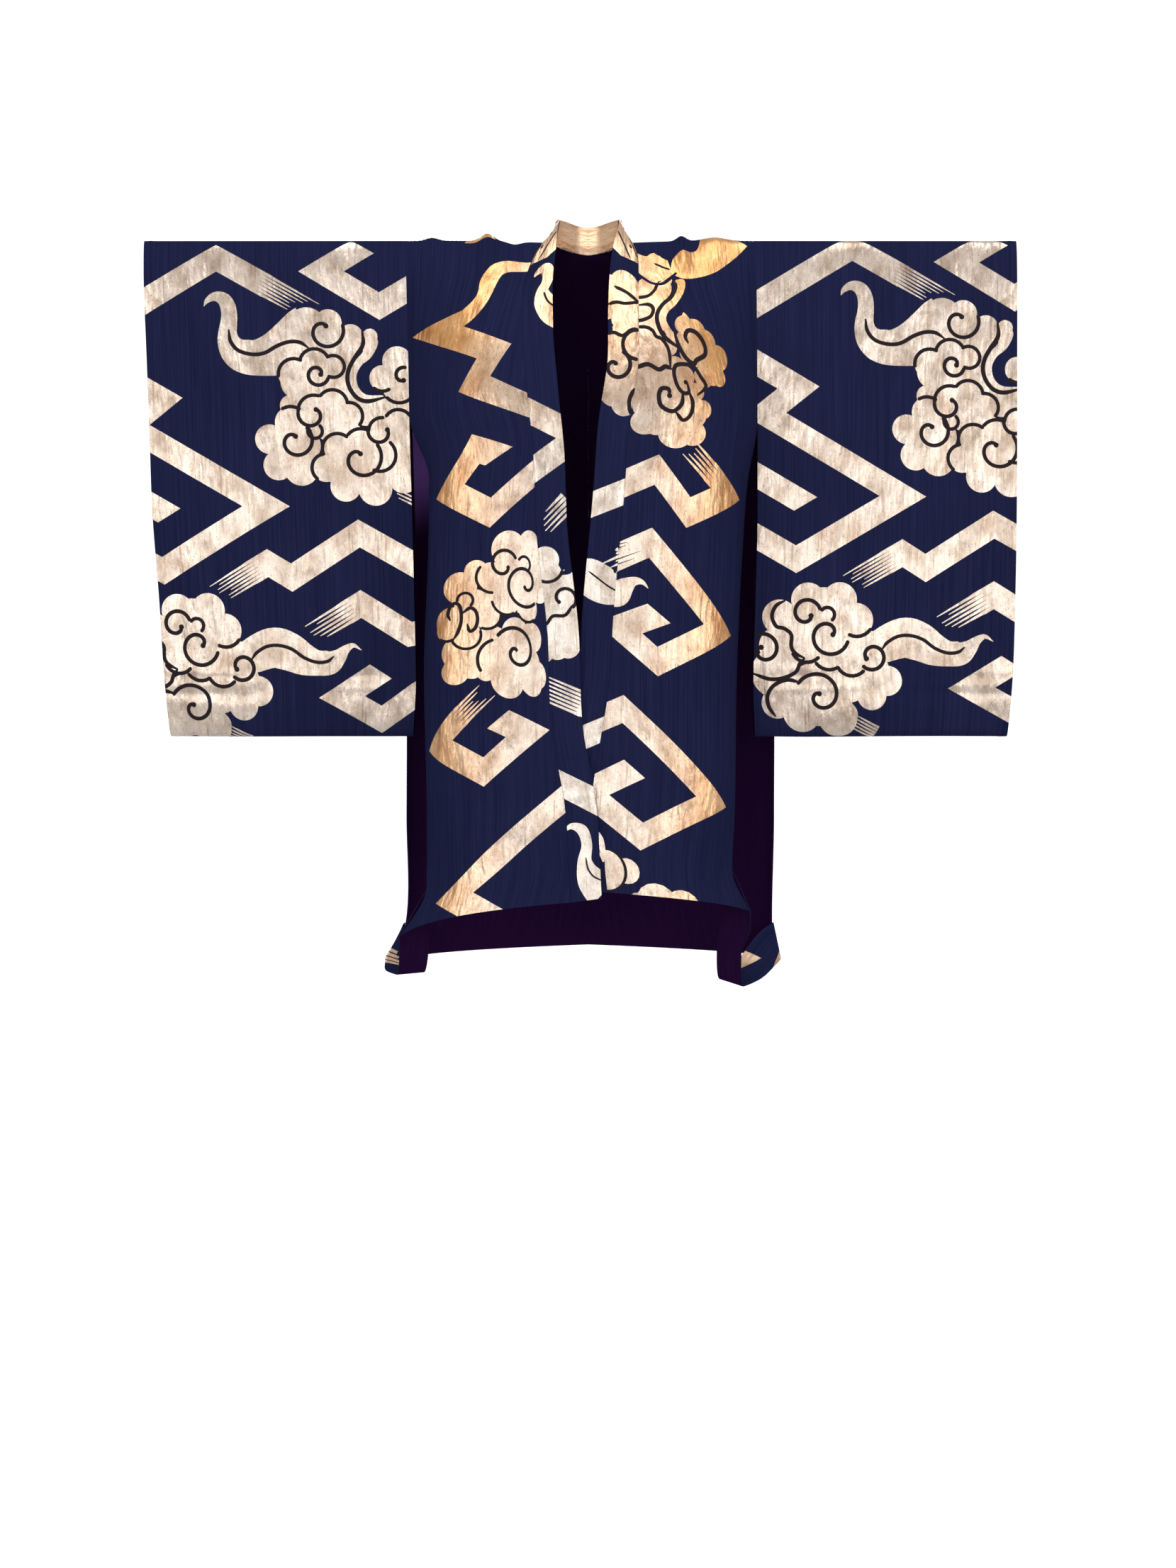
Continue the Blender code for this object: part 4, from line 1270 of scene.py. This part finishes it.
def band_lift(across, along):
    """The folded neckband: full in the middle, thin at its two edges, ridged by the allowances inside."""
    crown = -BAND_THINS * band_thinning(across)
    ridges = ridge(across, 7.5, 1.6, 0.0006) + ridge(across, 11, 1.3, 0.0003)
    return crown + ridges + fold_lift(BAND_FOLDS, across, along) * gentle(across / 8)


def band_wall(across, along):
    return BAND_WALL - 2 * BAND_THINS * band_thinning(across)


def body_wear_and_light(across, along):
    """The foil is warmest towards the side edges and over the shoulders, where the cloth turns away from the
    front lamps, and worn and pale beside the neckband: partly wear, partly painted reflection.
    """
    side = gentle((225 - across) / 190)
    shoulder = np.exp(-((along / 260) ** 2))
    return np.clip(0.22 + 0.75 * side + 0.40 * shoulder, 0, 1)


def painted_light_on_lining(across, along):
    """Painted light: the lining is a lighter, livelier purple beside the left sleeve's slit, where it is lit.
    """
    return gentle((along - 235) / 45) * gentle((455 - along) / 120) * gentle((75 - across) / 30)


def band_wear_and_light(across, along):
    """The neckband is nearly white, but for its upper part and the collar: partly wear, partly painted
    reflection, pale where it faces the front lamps and warm where it turns back round the neck.
    """
    return 0.06 + gentle((along + 430) / 280) * 0.60


def strap_pattern(side):
    """The far leg of each strap shows a scrap of gold: the stripes of a frayed end, or a band's corner."""
    if side == "left":
        ways = [((46, 186 + 10 * k, 4.6), (20, 150 + 10 * k, 4.0)) for k in range(4)]
        return [shape for way in ways for shape in ribbon(way)]
    corner = patch((-2, 220), (26, 231), (9, 187), (-2, 185))
    return corner + patch((42, 290), (60, 290), (60, 222), (50, 226))


# How warm each piece's foil is, partly for wear and partly as painted reflection
SLEEVE_WEAR_AND_LIGHT = 0.20
STRAP_WEAR_AND_LIGHT = 0.6
# Where each front's pressed crease runs, in millimetres from its side edge
CREASE = {"left": 118, "right": 147}

# Each piece's node and slot, and what the sheet was cut to: width and length in metres, the area where the
# cut isn't a rectangle, and the sheet it is sewn to and hangs from
PIECES = {
    "brocade": ("body", "brocade", (0.300, 2.090), 0.53, ()),
    "silk_lining": ("lining", "purple_lining", (0.300, 2.090), 0.53, ("brocade",)),
    "wide_sleeve": ("sleeve", "brocade", (0.380, 1.500), None, ("brocade",)),
    "folded_neckband": ("neckband", "neckband", (0.044, 1.080), None, ("brocade",)),
    "hem_strap": ("hem_strip", "brocade", (0.050, 0.240), None, ("strap_silk",)),
    "strap_silk": ("strip_lining", "purple_lining", (0.050, 0.240), None, ("brocade",)),
}


def build_side(side):
    body = body_surface(side)
    folds = body_folds(side, body)
    crease = CREASE[side]
    lines = (11, 13, 3, -3, crease - 2, crease, crease + 2)
    hang("brocade", side, body, GRID, BROCADE, BROCADE_WALL, body_pattern(side), PURPLE,
         lift=body_lift(folds), extra=lines, wear_and_light=body_wear_and_light)
    # The left lining carries painted light beside the sleeve's slit.
    hang("silk_lining", side, body, LINING_GRID, [LINING_FINISH], LINING_WALL,
         lift=folds, depth=BROCADE_WALL + LAYER_GAP, wear_and_light=painted_light_on_lining if side == "left" else 0.0)
    sleeve = sleeve_surface(side)
    hang("wide_sleeve", side, sleeve, GRID, BROCADE, SLEEVE_WALL, sleeve_pattern(side, sleeve.roll), PURPLE,
         lift=sleeve_lift, wear_and_light=SLEEVE_WEAR_AND_LIGHT)
    motifs = on_front(left_band() if side == "left" else right_band())
    hang("folded_neckband", side, band_surface(side), BAND_GRID, BROCADE, band_wall, motifs,
         lift=band_lift, extra=(1.5, 7.5, -1.5), wear_and_light=band_wear_and_light)
    # The strap hangs turned inside out: its silk below, its brocade in the hollow of the sling
    strip = strip_surface(side)
    hang("strap_silk", side, strip, STRIP_GRID, [PURPLE_FINISH], LINING_WALL)
    hang("hem_strap", side, strip, STRIP_GRID, BROCADE, BROCADE_WALL, strap_pattern(side),
         depth=LINING_WALL + LAYER_GAP, wear_and_light=STRAP_WEAR_AND_LIGHT)


for side in ("left", "right"):
    build_side(side)


# Studio: a white paper bowl that only the camera sees, soft lights all round, and the camera
FLOOR_Z = -1.92
FLOOR_RADIUS = 6.0
BOWL_RADIUS = 14.0
BOWL_HEIGHT = 8.0
BOWL_SIDES = 72
BOWL_RINGS = 12
PAPER_GLOW = 0.70
SURROUND_GLOW = 0.62
SURROUND_COLOUR = (0.96, 0.97, 1.0, 1.0)
CAMERA_AT = (0.0206, -4.33, -0.546)
LENS_MM = 68.35
# How far the camera's axis lies left of the photo's middle and above it, and the photo's height, in pixels
AXIS_LEFT = 10.5
AXIS_ABOVE = 236
PHOTO_HEIGHT = 2212
# Lights: name, where, aimed at, size and power
LIGHTS = (
    ("front", (0.0, -5.6, -0.7), (0, 0, -0.6), (3.0, 2.4), 26),
    ("front_strip_left", (-1.5, -5.2, -0.5), (0, 0, -0.6), (0.4, 2.6), 7),
    ("front_strip_right", (1.9, -5.0, -0.7), (0, 0, -0.6), (0.4, 2.6), 11),
    ("front_left", (-3.4, -3.4, -0.1), (0, 0, -0.6), (1.6, 2.4), 40),
    ("front_right", (3.4, -3.2, -0.3), (0, 0, -0.6), (1.6, 2.4), 42),
    ("overhead", (0.0, -1.4, 3.2), (0, 0, -0.4), (3.0, 2.6), 60),
    ("back_left", (-2.0, 4.8, 0.9), (0, 0, -0.5), (1.8, 2.4), 45),
    ("back_right", (2.0, 4.8, 0.9), (0, 0, -0.5), (1.8, 2.4), 45),
)


def studio():
    """A flat pale floor that rises all round it, far off, in one smooth curve."""
    count = BOWL_SIDES
    turns = [2 * math.pi * k / count for k in range(count)]
    rings = []
    for k in range(BOWL_RINGS + 1):
        lean = math.radians(90 * k / BOWL_RINGS)
        rings.append((
            FLOOR_RADIUS + (BOWL_RADIUS - FLOOR_RADIUS) * math.sin(lean),
            FLOOR_Z + BOWL_HEIGHT * (1 - math.cos(lean)),
        ))
    points = [(r * math.cos(t), r * math.sin(t), z) for r, z in rings for t in turns]
    faces = [list(range(count))]
    for ring in range(BOWL_RINGS):
        for k in range(count):
            after = (k + 1) % count
            low = ring * count
            faces.append((low + k, low + after, low + count + after, low + count + k))
    mesh = bpy.data.meshes.new("floor")
    mesh.from_pydata(points, [], faces)
    floor = added("studio_floor", mesh)
    paper = Finish("white_paper").set(
        Base_Color=(0.94, 0.94, 0.94, 1.0), Roughness=0.9, Specular_IOR_Level=0.1,
        Emission_Color=(1.0, 1.0, 1.0, 1.0), Emission_Strength=PAPER_GLOW,
    )
    mesh.materials.append(paper)
    floor.visible_diffuse = False
    floor.visible_glossy = False
    floor.visible_shadow = False


def soft_light(name, at, towards, size, power):
    data = bpy.data.lights.new(name, "AREA")
    data.shape = "RECTANGLE"
    data.size, data.size_y = size
    data.energy = power
    lamp = added(name, data)
    lamp.location = at
    lamp.rotation_euler = (Vector(towards) - Vector(at)).to_track_quat("-Z", "Y").to_euler()
    lamp.visible_camera = False


def ambient():
    """A dim even surround."""
    world = bpy.data.worlds.new("studio")
    world.use_nodes = True
    surround = world.node_tree.nodes["Background"]
    surround.inputs["Color"].default_value = SURROUND_COLOUR
    surround.inputs["Strength"].default_value = SURROUND_GLOW
    bpy.context.scene.world = world


def photo_camera():
    data = bpy.data.cameras.new("photo_view")
    data.lens = LENS_MM
    data.sensor_width = 36.0
    data.shift_x = -AXIS_LEFT / PHOTO_HEIGHT
    data.shift_y = -AXIS_ABOVE / PHOTO_HEIGHT
    camera = added("photo_view", data)
    camera.location = CAMERA_AT
    camera.rotation_euler = (math.radians(90), 0.0, 0.0)
    bpy.context.scene.camera = camera


studio()
ambient()
for light in LIGHTS:
    soft_light(*light)
photo_camera()
bpy.context.scene.view_settings.view_transform = "Standard"
